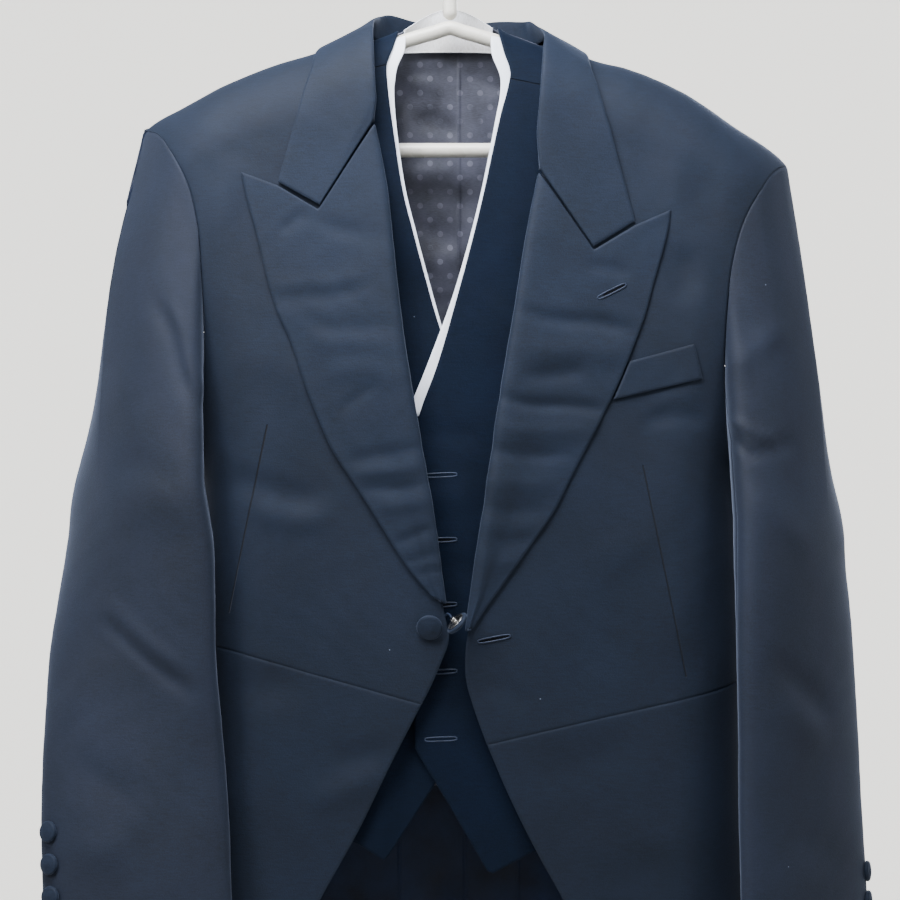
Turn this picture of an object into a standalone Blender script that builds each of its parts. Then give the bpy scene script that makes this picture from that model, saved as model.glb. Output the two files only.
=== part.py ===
"""A morning suit on a hanger: a cutaway morning coat over a waistcoat with a white slip.

The frame is the hanger's: the origin is the inside top of the hook, X runs to the wearer's left,
-Y is the front and +Z is up. Tables give real sizes in millimetres. A "drop" is a distance
below the origin. Sides are the wearer's: right is -X and left is +X.
"""

import math

import bmesh
import bpy
import numpy as np
from mathutils import Vector

MM = 0.001
RIGHT, LEFT = -1, 1

# Cloth walls
COAT_WALL = 1.5
WAISTCOAT_WALL = 1.3
SLIP_WALL = 0.9
SEAM_GAP = 0.6
RIDGE_GAP = 2.2
SLEEVE_GAP = 1.8

# Colours, linear
NAVY = (0.020, 0.027, 0.042)
BARATHEA_LAPEL = (0.024, 0.031, 0.046)
LINING = (0.060, 0.062, 0.070)
WHITE_SLIP = (0.80, 0.81, 0.83)
WHITE_PLASTIC = (0.78, 0.77, 0.73)
NICKEL = (0.60, 0.58, 0.55)


# Curves through tables

def through(knots, values, at):
    """A smooth curve through a table's rows: Hermite spans whose slopes average the two chords."""
    knots = np.asarray(knots, float)
    values = np.asarray(values, float)
    if values.ndim == 1:
        return through(knots, values[:, None], at)[..., 0]
    at = np.clip(np.asarray(at, float), knots[0], knots[-1])
    width = np.diff(knots)
    chord = np.diff(values, axis=0) / width[:, None]
    slope = np.vstack([chord[:1], (chord[1:] + chord[:-1]) / 2, chord[-1:]])
    span = np.clip(np.searchsorted(knots, at, side="right") - 1, 0, len(knots) - 2)
    t = ((at - knots[span]) / width[span])[..., None]
    w = width[span][..., None]
    return (
        (1 + 2 * t) * (1 - t) ** 2 * values[span]
        + t * (1 - t) ** 2 * w * slope[span]
        + t * t * (3 - 2 * t) * values[span + 1]
        + t * t * (t - 1) * w * slope[span + 1]
    )


def along(points, shares):
    """Points at these shares of the length of a polyline, smoothed through its corners."""
    points = np.asarray(points, float)
    steps = np.linalg.norm(np.diff(points, axis=0), axis=1)
    length = np.concatenate([[0.0], np.cumsum(steps)])
    return through(length / length[-1], points, shares)


def ease(x):
    """0 below 0, 1 above 1, and smooth between."""
    x = np.clip(x, 0.0, 1.0)
    return x * x * (3 - 2 * x)


# The forms that the coat and the waistcoat hang in

COAT = dict(
    # drop, half width, front depth, back depth
    rows=[
        (60, 249, 40, 50),
        (150, 249, 46, 50),
        (250, 239, 54, 54),
        (330, 219, 60, 57),
        (420, 204, 63, 57),
        (500, 205, 62, 50),
        (560, 206, 60, 45),
        (640, 208, 57, 46),
        (736, 213, 52, 47),
        (900, 221, 45, 46),
        (1125, 226, 37, 42),
    ],
    centre=15.5,
    # x, drop of the shoulder line, and of the back neck between its two ends
    ridge=[
        (-262, 176), (-240, 164), (-225.6, 153.2), (-201, 140.2), (-172.8, 124.9),
        (-135, 109.6), (-102.5, 99.6), (-85, 92.5), (-66, 86), (-40, 88), (6, 92),
        (52, 90), (72, 89.5), (85, 94.5), (109, 104.8), (136, 112), (176, 129.4),
        (215, 155.4), (250, 178.4), (262, 190), (275, 198),
    ],
    corner=60,
    crown=0.12,
    shoulder_roll=55,
    neck=(6, 70),
)

HANGER_ARM = [
    # distance from the centre and drop of the arm's top
    (0, 74.5), (30, 83), (60, 92.8), (100, 107), (135, 120.4), (165, 131.6), (195, 146), (215, 157),
]


def hanger_drop(x):
    """Drop of the top of the hanger's arms."""
    arm = np.array(HANGER_ARM, float)
    return through(arm[:, 0], arm[:, 1], np.abs(x))


WAISTCOAT_NECK = [
    (-55, 88.7), (-43, 84), (-34, 78), (-24, 71), (-12, 65), (0, 62.5), (12, 65), (24, 71), (34, 78),
    (43, 84), (55, 88.7),
]
WAISTCOAT_CLEAR = WAISTCOAT_WALL + 0.6
VEST = dict(
    rows=[
        (60, 193, 26, 25),
        (110, 193, 28, 26),
        (150, 192, 34, 27),
        (200, 191, 40, 29),
        (300, 189, 47, 32),
        (400, 188, 51, 32),
        (500, 186, 51, 30),
        (600, 187, 49, 28),
        (760, 191, 44, 26),
    ],
    centre=7,
    ridge=[(x, hanger_drop(x) - WAISTCOAT_CLEAR) for x in (-200, -160, -130, -100, -70)]
    + WAISTCOAT_NECK
    + [(x, hanger_drop(x) - WAISTCOAT_CLEAR) for x in (70, 100, 130, 160, 215)],
    corner=48,
    crown=0.12,
    shoulder_roll=45,
    neck=(0, 43),
)


def girths(form, drop):
    """Where a level section's straight front, its two round quarters and its back begin."""
    rows = np.array(form["rows"], float)
    half, front, back = np.moveaxis(through(rows[:, 0], rows[:, 1:], drop), -1, 0)
    flat = half - form["corner"]
    quarter_front = math.pi / 4 * (form["corner"] + front)
    quarter_back = math.pi / 4 * (form["corner"] + back)
    return half, front, back, flat, quarter_front, quarter_back


def girth_at(form, side, face, x, drop):
    """Girth from the centre front of the point at x on the front or the back face."""
    x = side * (np.asarray(x, float) - form["centre"])
    half, front, back, flat, quarter_front, quarter_back = girths(form, drop)
    turn = np.clip((x - flat) / form["corner"], 0.0, 1.0)
    if face == "front":
        return np.where(x <= flat, x, flat + quarter_front * np.arcsin(turn) * 2 / math.pi)
    rear = flat + quarter_front + quarter_back
    return np.where(x <= flat, rear + flat - x, rear - quarter_back * np.arcsin(turn) * 2 / math.pi)


def surface(form, side, girth, drop):
    """Points of a form: a level section is a stadium with a slightly crowned front and back.

    Towards the shoulder line the depth closes as a quarter ellipse, except round the back neck.
    """
    girth, drop = np.broadcast_arrays(np.asarray(girth, float), np.asarray(drop, float))
    half, front, back, flat, quarter_front, quarter_back = girths(form, drop)
    corner, crown = form["corner"], form["crown"]
    rear = flat + quarter_front + quarter_back
    turn_front = np.clip((girth - flat) / quarter_front, 0, 1) * math.pi / 2
    turn_back = np.clip((girth - flat - quarter_front) / quarter_back, 0, 1) * math.pi / 2
    x = np.where(girth <= flat, girth, flat + corner * np.sin(turn_front))
    x = np.where(girth > flat + quarter_front, flat + corner * np.cos(turn_back), x)
    x = np.where(girth > rear, rear + flat - girth, x)
    level = 1 - crown * (1 - np.cos(math.pi * np.clip(np.abs(x) / flat, 0, 1))) / 2
    y = np.where(girth <= flat + quarter_front, -front * level * np.cos(turn_front),
                 back * level * np.where(girth > rear, 1.0, np.sin(turn_back)))
    x = form["centre"] + side * x
    ridge = np.array(form["ridge"], float)
    below = np.clip((drop - through(ridge[:, 0], ridge[:, 1], x)) / form["shoulder_roll"], 0, 1)
    closing = 1 - (1 - below) ** 2
    centre, reach = form["neck"]
    neck = np.clip(1 - ((x - centre) / reach) ** 2, 0, 1)
    y = y * np.sqrt(np.where(y > 0, closing + (1 - closing) * neck, closing))
    return np.stack([x, y, -drop], axis=-1)


def outward(form, side, girth, drop):
    """Unit normals of a form, away from its hollow."""
    step = 1.5
    across = surface(form, side, girth + step, drop) - surface(form, side, girth - step, drop)
    down = surface(form, side, girth, drop + step) - surface(form, side, girth, drop - step)
    normal = np.cross(across, down) * -side
    return normal / np.maximum(np.linalg.norm(normal, axis=-1, keepdims=True), 1e-9)


def on_form(form, side, face, x, drop, out=0.0):
    """Points on the front or the back face of a form, moved out by some millimetres."""
    x, drop = np.broadcast_arrays(np.asarray(x, float), np.asarray(drop, float))
    girth = girth_at(form, side, face, x, drop)
    point = surface(form, side, girth, drop)
    return point + np.asarray(out)[..., None] * outward(form, side, girth, drop)


def ridge_drop(form, x):
    ridge = np.array(form["ridge"], float)
    return through(ridge[:, 0], ridge[:, 1], x)


# Making objects

def material(name, colour, roughness, metallic=0.0):
    made = bpy.data.materials.new(name)
    made.use_nodes = True
    shader = made.node_tree.nodes["Principled BSDF"]
    shader.inputs["Base Color"].default_value = (*colour, 1.0)
    shader.inputs["Roughness"].default_value = roughness
    shader.inputs["Metallic"].default_value = metallic
    return made


def collection(name):
    made = bpy.data.collections.new(name)
    bpy.context.scene.collection.children.link(made)
    return made


def cloth(name, points, wall, finish, inside):
    """A wall of cloth: a grid laid on the points, its face turned away from a point inside."""
    rows, columns = points.shape[0] - 1, points.shape[1] - 1
    bm = bmesh.new()
    bmesh.ops.create_grid(bm, x_segments=columns, y_segments=rows, size=1.0)
    for vert in bm.verts:
        column = round((vert.co.x + 1) / 2 * columns)
        row = round((vert.co.y + 1) / 2 * rows)
        vert.co = points[row, column] * MM
    bm.normal_update()
    hub = np.array(inside) * MM
    leaning = sum(
        (np.array(face.calc_center_median()) - hub) @ np.array(face.normal) * face.calc_area()
        for face in bm.faces
    )
    if leaning < 0:
        bmesh.ops.reverse_faces(bm, faces=bm.faces)
    mesh = bpy.data.meshes.new(name)
    bm.to_mesh(mesh)
    bm.free()
    mesh.materials.append(finish)
    made = bpy.data.objects.new(name, mesh)
    SUIT.objects.link(made)
    solidify = made.modifiers.new("wall", "SOLIDIFY")
    solidify.thickness = wall * MM
    solidify.offset = -1.0
    solidify.use_even_offset = False
    mesh.shade_smooth()
    return made


def turned(name, profile, place, direction, finish, steps=16):
    """A turned piece: a profile of radius and height, screwed round its axis, set on a place."""
    mesh = bpy.data.meshes.new(name)
    points = [(radius * MM, 0.0, height * MM) for radius, height in profile]
    mesh.from_pydata(points, [(i, i + 1) for i in range(len(points) - 1)], [])
    mesh.materials.append(finish)
    made = bpy.data.objects.new(name, mesh)
    SUIT.objects.link(made)
    screw = made.modifiers.new("turn", "SCREW")
    screw.steps = screw.render_steps = steps
    screw.use_merge_vertices = True
    screw.merge_threshold = 0.00001
    made.location = np.asarray(place) * MM
    made.rotation_mode = "QUATERNION"
    made.rotation_quaternion = aim(direction)
    return made


def aim(direction):
    return Vector(direction).to_track_quat("Z", "Y")


# Seams and edges of the coat, in the wearer's right and left columns

ROLL = {
    # x and drop of the edge that shows: collar roll, lapel roll, then the cut front edge
    RIGHT: [(-62, 87), (-59.5, 100), (-58, 118), (-56.3, 160.5), (-47.5, 206), (-42.4, 250),
            (-36.6, 301), (-29.2, 352), (-20.5, 403), (-11.7, 454), (-4.4, 506), (-2.2, 524),
            (-0.7, 543), (-6.6, 561), (-14.7, 580), (-21, 592.5)],
    LEFT: [(74, 90.5), (72, 104), (69.5, 118), (66.5, 162), (65.8, 197), (57, 242),
           (47.5, 301), (38.7, 352), (32.2, 396), (24.9, 447), (19, 484), (13.9, 520),
           (10.2, 549), (11.8, 572), (18.4, 596), (27.2, 620.3)],
}
ARMHOLE_FRONT = {
    RIGHT: [(-233, 160), (-222, 165), (-209.4, 180.5), (-195.3, 206.4), (-187.8, 236),
            (-184.9, 270), (-183.4, 314), (-184.5, 345), (-188, 376)],
    LEFT: [(258, 186), (247.2, 191), (231.6, 210.2), (219, 232.4), (209.4, 265.8),
           (205.7, 299.3), (204.2, 336.4), (205.4, 372), (209, 402)],
}
ARMHOLE_BACK = {
    RIGHT: [(-233, 160), (-216, 176), (-200, 205), (-190, 240), (-186, 275), (-187, 305)],
    LEFT: [(258, 186), (240, 202), (224, 231), (214, 266), (210, 301), (211, 331)],
}
UNDERARM = {RIGHT: [399, 402, 391, 357, 305], LEFT: [425, 428, 417, 383, 331]}
BACK_SEAM = {
    RIGHT: [(-187, 305), (-172, 345), (-140, 405), (-98, 465), (-62, 515), (-41, 549)],
    LEFT: [(211, 331), (196, 369), (164, 425), (122, 480), (84, 528), (56, 561)],
}
PLEAT = {
    RIGHT: [(-41, 549), (-40, 700), (-40, 900), (-41, 1102)],
    LEFT: [(56, 561), (54, 700), (54, 900), (55, 1114)],
}
WAIST = {
    # girth and drop
    RIGHT: [(30, 592.5), (110, 571), (185, 552), (270, 548), (420, 549)],
    LEFT: [(14, 620.3), (100, 601), (199, 580), (280, 566), (420, 560)],
}
CUTAWAY = {
    RIGHT: [(-21, 593), (-44.1, 638), (-68.4, 688), (-94.1, 734), (-126, 800), (-150, 870),
            (-168, 950), (-180, 1030), (-187, 1096)],
    LEFT: [(27.2, 621), (44.1, 660.5), (66.2, 705), (82.3, 734), (116, 800), (146, 870),
           (172, 950), (192, 1030), (205, 1118)],
}
CENTRE_BACK = [(12, 91.5), (12, 200), (12, 320), (12, 440), (12, 555), (12, 830), (12, 1108)]
SIDE_SHARE = 0.94

LAPEL_EDGE = {
    # the outer edge from the tip to the button
    RIGHT: [(-155.2, 195.8), (-150.3, 217), (-143.4, 242), (-135.6, 275), (-127.9, 300),
            (-117.9, 322), (-107.3, 354), (-97.6, 379), (-86.7, 403), (-65.9, 435),
            (-48.8, 462), (-31.7, 488.6), (-13.4, 511)],
    LEFT: [(163.5, 224.2), (162, 237), (157, 257), (150.6, 279), (143.6, 304.6),
           (134, 329.4), (124, 354), (111.8, 379), (90.4, 420.3), (75.6, 449.5),
           (58.6, 474), (41.5, 498.4), (24.4, 522.7), (17.5, 534)],
}
LAPEL_TOP = {
    RIGHT: [(-56.4, 162.4), (-97.4, 225), (-127.8, 206.4), (-155.2, 195.8)],
    LEFT: [(65.9, 198.2), (106, 255), (137.2, 236), (163.5, 224.2)],
}
LAPEL_ROLL = {
    RIGHT: [(-56.4, 161), (-47.5, 206), (-42.4, 250), (-36.6, 301), (-29.2, 352),
            (-20.5, 403), (-11.7, 454), (-3.4, 516)],
    LEFT: [(65.9, 197.5), (57, 242), (47.5, 301), (38.7, 352), (32.2, 396), (24.9, 447),
           (19, 484), (11.9, 536)],
}
LAPEL_ACROSS = [
    # millimetres out from the roll, share of the rest, share of the roll's height, lift
    (0.0, 0.0, 0.0, -0.4), (-0.9, 0.0, 0.42, 0.2), (0.0, 0.0, 0.8, 1.2), (5.0, 0.0, 1.0, 2.2),
    (5.0, 0.16, 0.78, 2.6), (5.0, 0.39, 0.3, 2.9), (5.0, 0.73, 0.08, 2.9), (5.0, 1.0, 0.0, 2.9),
]

# Collar rows from the centre back to the gorge: stand, fold, middle of the fall and outer edge.
# Each is a kind, x, a drop (below the shoulder line if the kind ends in +) and the lift off the
# coat; a free point is x, y and drop
COLLAR = {
    RIGHT: [
        (("free", 6, 49.6, 90.6), ("free", 6, 54, 68),
         ("back", 6, 97, 9), ("back", 6, 121, 4.4)),
        (("free", -22, 45.4, 89), ("free", -23, 50, 66),
         ("back", -26, 96, 9), ("back", -33, 120, 4.4)),
        (("free", -44, 34.6, 86.6), ("free", -45, 38, 62.5),
         ("back", -52, 97, 7), ("back", -66, 116, 4.3)),
        (("free", -54.2, 24, 85.6), ("free", -54, 25, 66),
         ("back+", -67, 7, 5.6), ("back+", -84, 14, 3.6)),
        (("free", -59.7, 12, 84.6), ("free", -56.8, 12, 69.5),
         ("back+", -73, 2, 4.8), ("back+", -92, 3.6, 2.9)),
        (("free", -61.2, 2, 84.4), ("free", -58.8, 1, 73.5),
         ("ridge", -77, 0, 4.0), ("ridge", -97, 0, 2.4)),
        (("free", -60.8, -10, 86), ("free", -59.3, -9, 78),
         ("front+", -79, 1.8, 4.1), ("front+", -100, 2.8, 2.6)),
        (("front+", -60, 7, -0.4), ("front+", -59.6, 5, 8),
         ("front+", -79.5, 7, 4.6), ("front+", -102, 9.5, 3.2)),
        (("front", -59, 103, -0.4), ("front", -59, 99, 7.4),
         ("front", -79.6, 109, 5), ("front", -104, 121, 3.9)),
        (("front", -57.8, 115, -0.4), ("front", -58.4, 112, 6.8),
         ("front", -80.5, 127, 5), ("front", -109, 136, 3.6)),
        (("front", -57, 130, -0.4), ("front", -57.5, 128, 6.2),
         ("front", -83, 152, 4.6), ("front", -114, 155, 3.4)),
        (("front", -56.2, 145, -0.4), ("front", -56.8, 143, 5.8),
         ("front", -88, 185, 4), ("front", -119.5, 175, 3.1)),
        (("front", -55.8, 159.5, -0.4), ("front", -56.6, 159, 5),
         ("front", -96.4, 221.8, 3.4), ("front", -127.8, 204.2, 3.1)),
    ],
    LEFT: [
        (("free", 34, 45.4, 90.4), ("free", 35, 50, 65),
         ("back", 38, 97, 9), ("back", 45, 123, 4.4)),
        (("free", 55.2, 34.6, 88.8), ("free", 57, 38, 67.5),
         ("back", 64, 99, 7), ("back", 78, 120, 4.3)),
        (("free", 66.2, 24, 88), ("free", 62.5, 25, 70),
         ("back+", 79, 7, 6.5), ("back+", 94, 14, 4.9)),
        (("free", 71.7, 12, 87.4), ("free", 67, 12, 76),
         ("back+", 84.5, 2, 6), ("back+", 100, 3.6, 4.6)),
        (("free", 73.2, 2, 87.4), ("free", 69.8, 1, 80),
         ("ridge", 88, 0, 4.6), ("ridge", 103, 0, 3.2)),
        (("free", 72.8, -10, 88.6), ("free", 70.8, -9, 83.5),
         ("front+", 89, 1.8, 4.1), ("front+", 104, 2.8, 2.6)),
        (("front+", 72, 7, -0.4), ("front+", 71.6, 5, 8),
         ("front+", 89.4, 7, 4.6), ("front+", 104.5, 9.5, 3.2)),
        (("front", 71, 106, -0.4), ("front", 71, 102, 7.4),
         ("front", 89.6, 113, 5), ("front", 106, 121, 3.9)),
        (("front", 69.4, 120, -0.4), ("front", 70, 117, 6.8),
         ("front", 90.5, 134, 5), ("front", 111, 137, 3.6)),
        (("front", 67.8, 142, -0.4), ("front", 68.4, 140, 6.2),
         ("front", 92, 164, 4.6), ("front", 117.5, 160, 3.4)),
        (("front", 66, 170, -0.4), ("front", 66.6, 168, 5.8),
         ("front", 96, 210, 4), ("front", 126.2, 193, 3.1)),
        (("front", 65.4, 195.5, -0.4), ("front", 66.2, 195, 5),
         ("front", 106, 253.0, 3.4), ("front", 137, 234, 3.1)),
    ],
}

SLEEVE = {
    # drop, centre x, centre y, half breadth, half thickness, turn in degrees
    RIGHT: [(430, -236.5, -14, 78, 28, 42), (484, -235.5, -21, 76, 27, 52),
            (550, -238.5, -32, 74, 25, 62), (616, -235.5, -46, 71, 22, 74),
            (680, -232.5, -58, 71, 20, 82), (768, -227.5, -70, 70, 18, 86)],
    LEFT: [(455, 258.5, -13, 76, 28, 39.5), (500, 259.2, -18, 75, 27, 39),
           (560, 261.3, -24, 73, 25, 42), (640, 263, -31, 71, 23, 45),
           (720, 264.5, -38, 69, 21, 48.5), (791, 265, -43, 68, 20, 51)],
}


def on_girth(form, side, face, points):
    """A table of x and drop turned into girth and drop."""
    points = np.asarray(points, float)
    return np.stack([girth_at(form, side, face, points[:, 0], points[:, 1]), points[:, 1]], axis=-1)


def shares(count, power=1.0, start=0.0, end=1.0):
    return start + (end - start) * np.linspace(0, 1, count + 1) ** power


def rows_along(form, side, face, points, at):
    """Rows of girth and drop at these shares of a table of x and drop."""
    return on_girth(form, side, face, along(points, at))


def columns_between(count, near):
    """Even shares with one more close to each end, so that a wall's ends stand square."""
    even = np.linspace(0, 1, count + 1)
    return np.concatenate([[0.0, near], even[1:-1], [1 - near, 1.0]])


def panel(form, side, inner, outer, columns, top=None, bottom=None, lift=None, fade=2):
    """Points of a panel between two edges given row by row as girth and drop."""
    rows = len(inner)
    u = columns_between(columns, 0.25 / columns)[None, :]
    v = np.linspace(0, 1, rows)[:, None]
    girth = inner[:, :1] * (1 - u) + outer[:, :1] * u
    drop = inner[:, 1:] * (1 - u) + outer[:, 1:] * u
    if top is not None:
        drop = drop + (top(girth[:1], drop[:1]) - drop[:1]) * (1 - v) ** fade
    if bottom is not None:
        drop = drop + (bottom(girth[-1:], drop[-1:]) - drop[-1:]) * v ** fade
    points = surface(form, side, girth, drop)
    if lift is not None:
        points = points + lift(girth, drop)[..., None] * outward(form, side, girth, drop)
    return points


def shoulder_line(form, side):
    def top(girth, drop):
        return ridge_drop(form, surface(form, side, girth, drop)[..., 0])

    return top


def side_girth(side, drop):
    half, front, back, flat, quarter_front, quarter_back = girths(COAT, drop)
    return flat + quarter_front * SIDE_SHARE


def waist_drop(side):
    table = np.array(WAIST[side], float)
    return lambda girth, drop: through(table[:, 0], table[:, 1], girth)


def waist_end(side):
    """Where the back seam meets the waist seam: x and drop."""
    x = BACK_SEAM[side][-1][0]
    return x, float(waist_drop(side)(girth_at(COAT, side, "back", x, 555), 0)) - SEAM_GAP / 2


ARM_ROWS_FRONT = 9
ARM_ROWS_BACK = 5
UNDERARM_COLUMNS = 5
LOWER_ROWS = 6
BODY_ROWS = 8
TAIL_ROWS = 7


def front_panel(side):
    """Coat front from the shoulder to the waist seam, inside the roll of collar and lapel."""
    low = UNDERARM[side][0]
    end = surface(COAT, side, side_girth(side, low), low)
    armhole = np.vstack([ARMHOLE_FRONT[side], [end[0], low]])
    armhole = rows_along(COAT, side, "front", armhole, shares(ARM_ROWS_FRONT, 1.25))
    drops = np.linspace(low, waist_drop(side)(200, 0), LOWER_ROWS + 1)[1:]
    seam = np.stack([side_girth(side, drops), drops], axis=-1)
    outer = np.vstack([armhole, seam])
    outer[:, 0] -= SEAM_GAP / 2
    edge = np.array(ROLL[side], float)
    back_from = 2.6 * ease((545 + 20 * (side > 0) - edge[:, 1]) / 30)
    edge[:, 0] += side * back_from
    split = 0.63
    at = np.concatenate([shares(ARM_ROWS_FRONT, 1.4, 0, split), shares(LOWER_ROWS, 1, split, 1)[1:]])
    inner = rows_along(COAT, side, "front", edge, at)
    points = panel(COAT, side, inner, outer, 11, shoulder_line(COAT, side),
                   lambda g, d: waist_drop(side)(g, d) - SEAM_GAP / 2, fade=3)
    points[0, :, 1] = np.minimum(points[0, :, 1], -RIDGE_GAP / 2)
    return points


def underarm(side):
    """Bottom of the armhole from the side seam to the back seam, as girth and drop."""
    start = np.array([side_girth(side, UNDERARM[side][0]), UNDERARM[side][0]])
    end = on_girth(COAT, side, "back", BACK_SEAM[side][:1])[0]
    t = np.linspace(0, 1, UNDERARM_COLUMNS + 1)
    girth = start[0] * (1 - t) + end[0] * t
    return np.stack([girth, through([0, 0.25, 0.5, 0.75, 1], UNDERARM[side], t)], axis=-1)


def side_body(side):
    arm = underarm(side)
    bottom = waist_drop(side)
    rows = BODY_ROWS
    drops = np.linspace(arm[0, 1], bottom(200, 0), rows + 1)
    inner = np.stack([side_girth(side, drops) + SEAM_GAP / 2, drops], axis=-1)
    outer = rows_along(COAT, side, "back", BACK_SEAM[side][:-1] + [waist_end(side)], shares(rows))
    outer[:, 0] -= SEAM_GAP / 2
    return panel(COAT, side, inner, outer, UNDERARM_COLUMNS,
                 lambda g, d: through(arm[:, 0], arm[:, 1], g),
                 lambda g, d: bottom(g, d) - SEAM_GAP / 2)


def back_panel(side):
    """Coat back and its tail in one, from the shoulder to the hem."""
    arm = rows_along(COAT, side, "back", ARMHOLE_BACK[side], shares(ARM_ROWS_BACK, 1.5))
    waist = waist_end(side)
    seam = rows_along(COAT, side, "back", BACK_SEAM[side][:-1] + [waist], shares(BODY_ROWS))[1:]
    pleat = rows_along(COAT, side, "back", [waist] + PLEAT[side][1:], shares(TAIL_ROWS))[1:]
    outer = np.vstack([arm, seam, pleat])
    outer[:, 0] += SEAM_GAP / 2
    centre = CENTRE_BACK
    inner = np.vstack([rows_along(COAT, side, "back", centre[:3], shares(ARM_ROWS_BACK, 1.5)),
                       rows_along(COAT, side, "back", centre[2:5], shares(BODY_ROWS))[1:],
                       rows_along(COAT, side, "back", centre[4:], shares(TAIL_ROWS))[1:]])
    inner[:, 0] -= SEAM_GAP / 2
    points = panel(COAT, side, inner, outer, 7, shoulder_line(COAT, side), fade=5)
    points[0, :, 1] = np.maximum(points[0, :, 1], RIDGE_GAP / 2)
    return points


def skirt_panel(side):
    rows = TAIL_ROWS
    inner = rows_along(COAT, side, "front", CUTAWAY[side], shares(rows))
    outer = rows_along(COAT, side, "back", [waist_end(side)] + PLEAT[side][1:], shares(rows))
    outer[:, 0] -= SEAM_GAP / 2
    bottom = waist_drop(side)
    return panel(COAT, side, inner, outer, 16, lambda g, d: bottom(g, d) + SEAM_GAP / 2)


def armhole_ring(side):
    """The armhole's vertices from the low front, over the shoulder and down to the back seam,
    then back along the underarm: the same points that the coat's panels end in."""
    front = front_panel(side)[: ARM_ROWS_FRONT + 1, -1]
    back = back_panel(side)[: ARM_ROWS_BACK + 1, -1]
    under = side_body(side)[0]
    top = (front[0] + back[0]) / 2
    return np.vstack([front[:0:-1], [top], back[1:], under[-2:0:-1]])


SLEEVE_SPLIT = (2, ARM_ROWS_FRONT + ARM_ROWS_BACK)
CAP_SWELL = {RIGHT: 14.0, LEFT: 8.0}
CAP_ROWS = 6
ARM_ROWS = 8


def oval(side, drop, angle):
    """A point of the sleeve's level section: an oval whose front end is turned to the body."""
    table = np.array(SLEEVE[side], float)
    x, y, breadth, thick, turn = np.moveaxis(through(table[:, 0], table[:, 1:], drop), -1, 0)
    turn = np.radians(turn)
    ahead = np.stack([-side * np.sin(turn), -np.cos(turn)], axis=-1)
    aside = np.stack([side * np.cos(turn), -np.sin(turn)], axis=-1)
    place = (np.stack([x, y], axis=-1) + (breadth * np.cos(angle))[..., None] * ahead
             + (thick * np.sin(angle))[..., None] * aside)
    return np.concatenate([place, -np.broadcast_to(drop, place.shape[:-1])[..., None]], axis=-1)


def sleeve_angles(count):
    """Angles round the oval for the ring's vertices: seams at -20 and 185 degrees."""
    first, last = SLEEVE_SPLIT
    lower = np.linspace(-50, -20, first + 1)[:-1]
    upper = np.linspace(-20, 185, last - first + 1)
    rest = np.linspace(185, 310, count - last + 1)[1:-1]
    return np.radians(np.concatenate([lower, upper, rest]))


def sleeve_points(side):
    """Rows of the sleeve from the armhole to the cuff, each going once round."""
    ring = armhole_ring(side)
    count = len(ring)
    beside = [at + step for at in SLEEVE_SPLIT for step in (-0.12, 0.12)]
    places = np.concatenate([np.arange(count), beside])
    places = np.sort(places)
    whole = np.arange(count + 1)
    closed = np.vstack([ring, ring[:1]])
    ring = np.stack([np.interp(places, whole, closed[:, axis]) for axis in range(3)], axis=-1)
    angles = sleeve_angles(count)
    angles = np.interp(places, whole, np.append(angles, angles[0] + 2 * math.pi))
    start, end = SLEEVE[side][0][0], SLEEVE[side][-1][0]
    ring = ring + np.array([side * SLEEVE_GAP, 0, 0])
    first = oval(side, np.full(len(ring), float(start)), angles)
    rows = []
    for share in shares(CAP_ROWS, 1.2):
        outer = np.clip(np.sin(angles - math.radians(35)), 0, 1)[:, None]
        swell = np.sin(math.pi * share) * outer * np.array([side * CAP_SWELL[side], 0, 0])
        rows.append(ring * (1 - share) + first * share + swell)
    for drop in np.linspace(start, end, ARM_ROWS + 1)[1:]:
        rows.append(oval(side, np.full(len(ring), drop), angles))
    return np.array(rows)


def sleeve_parts(side):
    """The top sleeve and the under sleeve, drawn apart at the two seams."""
    points = sleeve_points(side)
    first, last = SLEEVE_SPLIT[0] + 1, SLEEVE_SPLIT[1] + 3
    top = points[:, first: last + 1].copy()
    under = np.concatenate([points[:, last:], points[:, : first + 1]], axis=1)
    for part in (top, under):
        for column, neighbour in ((0, 1), (-1, -2)):
            across = part[:, neighbour] - part[:, column]
            across /= np.linalg.norm(across, axis=-1, keepdims=True)
            part[:, column] += across * SEAM_GAP
    return top, under


def lapel(side):
    """Rows from the gorge and the peak's top edge down to the button; columns out from the roll."""
    rows = 14
    v = shares(rows)
    roll = along(LAPEL_ROLL[side], v)
    edge = along(LAPEL_EDGE[side], v)
    height = through([0, 0.3, 0.75, 1], [2.6, 6, 5.4, 2.0], v)
    top = np.array(LAPEL_TOP[side], float)
    points = []
    for row in range(rows + 1):
        line = []
        for inset, share, rise, lift in LAPEL_ACROSS:
            width = abs(edge[row, 0] - roll[row, 0])
            t = (min(inset, width * 0.3) + share * (width - min(inset, width * 0.3))) / width
            x = roll[row, 0] + (edge[row, 0] - roll[row, 0]) * t
            drop = roll[row, 1] + (edge[row, 1] - roll[row, 1]) * t
            at_top = top[0, 0] + (top[-1, 0] - top[0, 0]) * max(t, 0)
            straight = top[0, 1] + (top[-1, 1] - top[0, 1]) * max(t, 0)
            bend = np.interp(side * at_top, side * top[:, 0], top[:, 1]) - straight
            drop += (bend + 1.0) * (1 - v[row]) ** 2
            line.append(on_form(COAT, side, "front", x, drop, height[row] * rise + lift))
        points.append(line)
    return np.array(points)


def collar_point(side, spec):
    kind, x, second, third = spec
    if kind == "free":
        return np.array([x, second, -third], float)
    if kind == "ridge":
        return np.array([x, 0.0, third - ridge_drop(COAT, x)])
    if kind.endswith("+"):
        kind, second = kind[:-1], ridge_drop(COAT, x) + second
    return on_form(COAT, side, kind, x, second, third)


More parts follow.
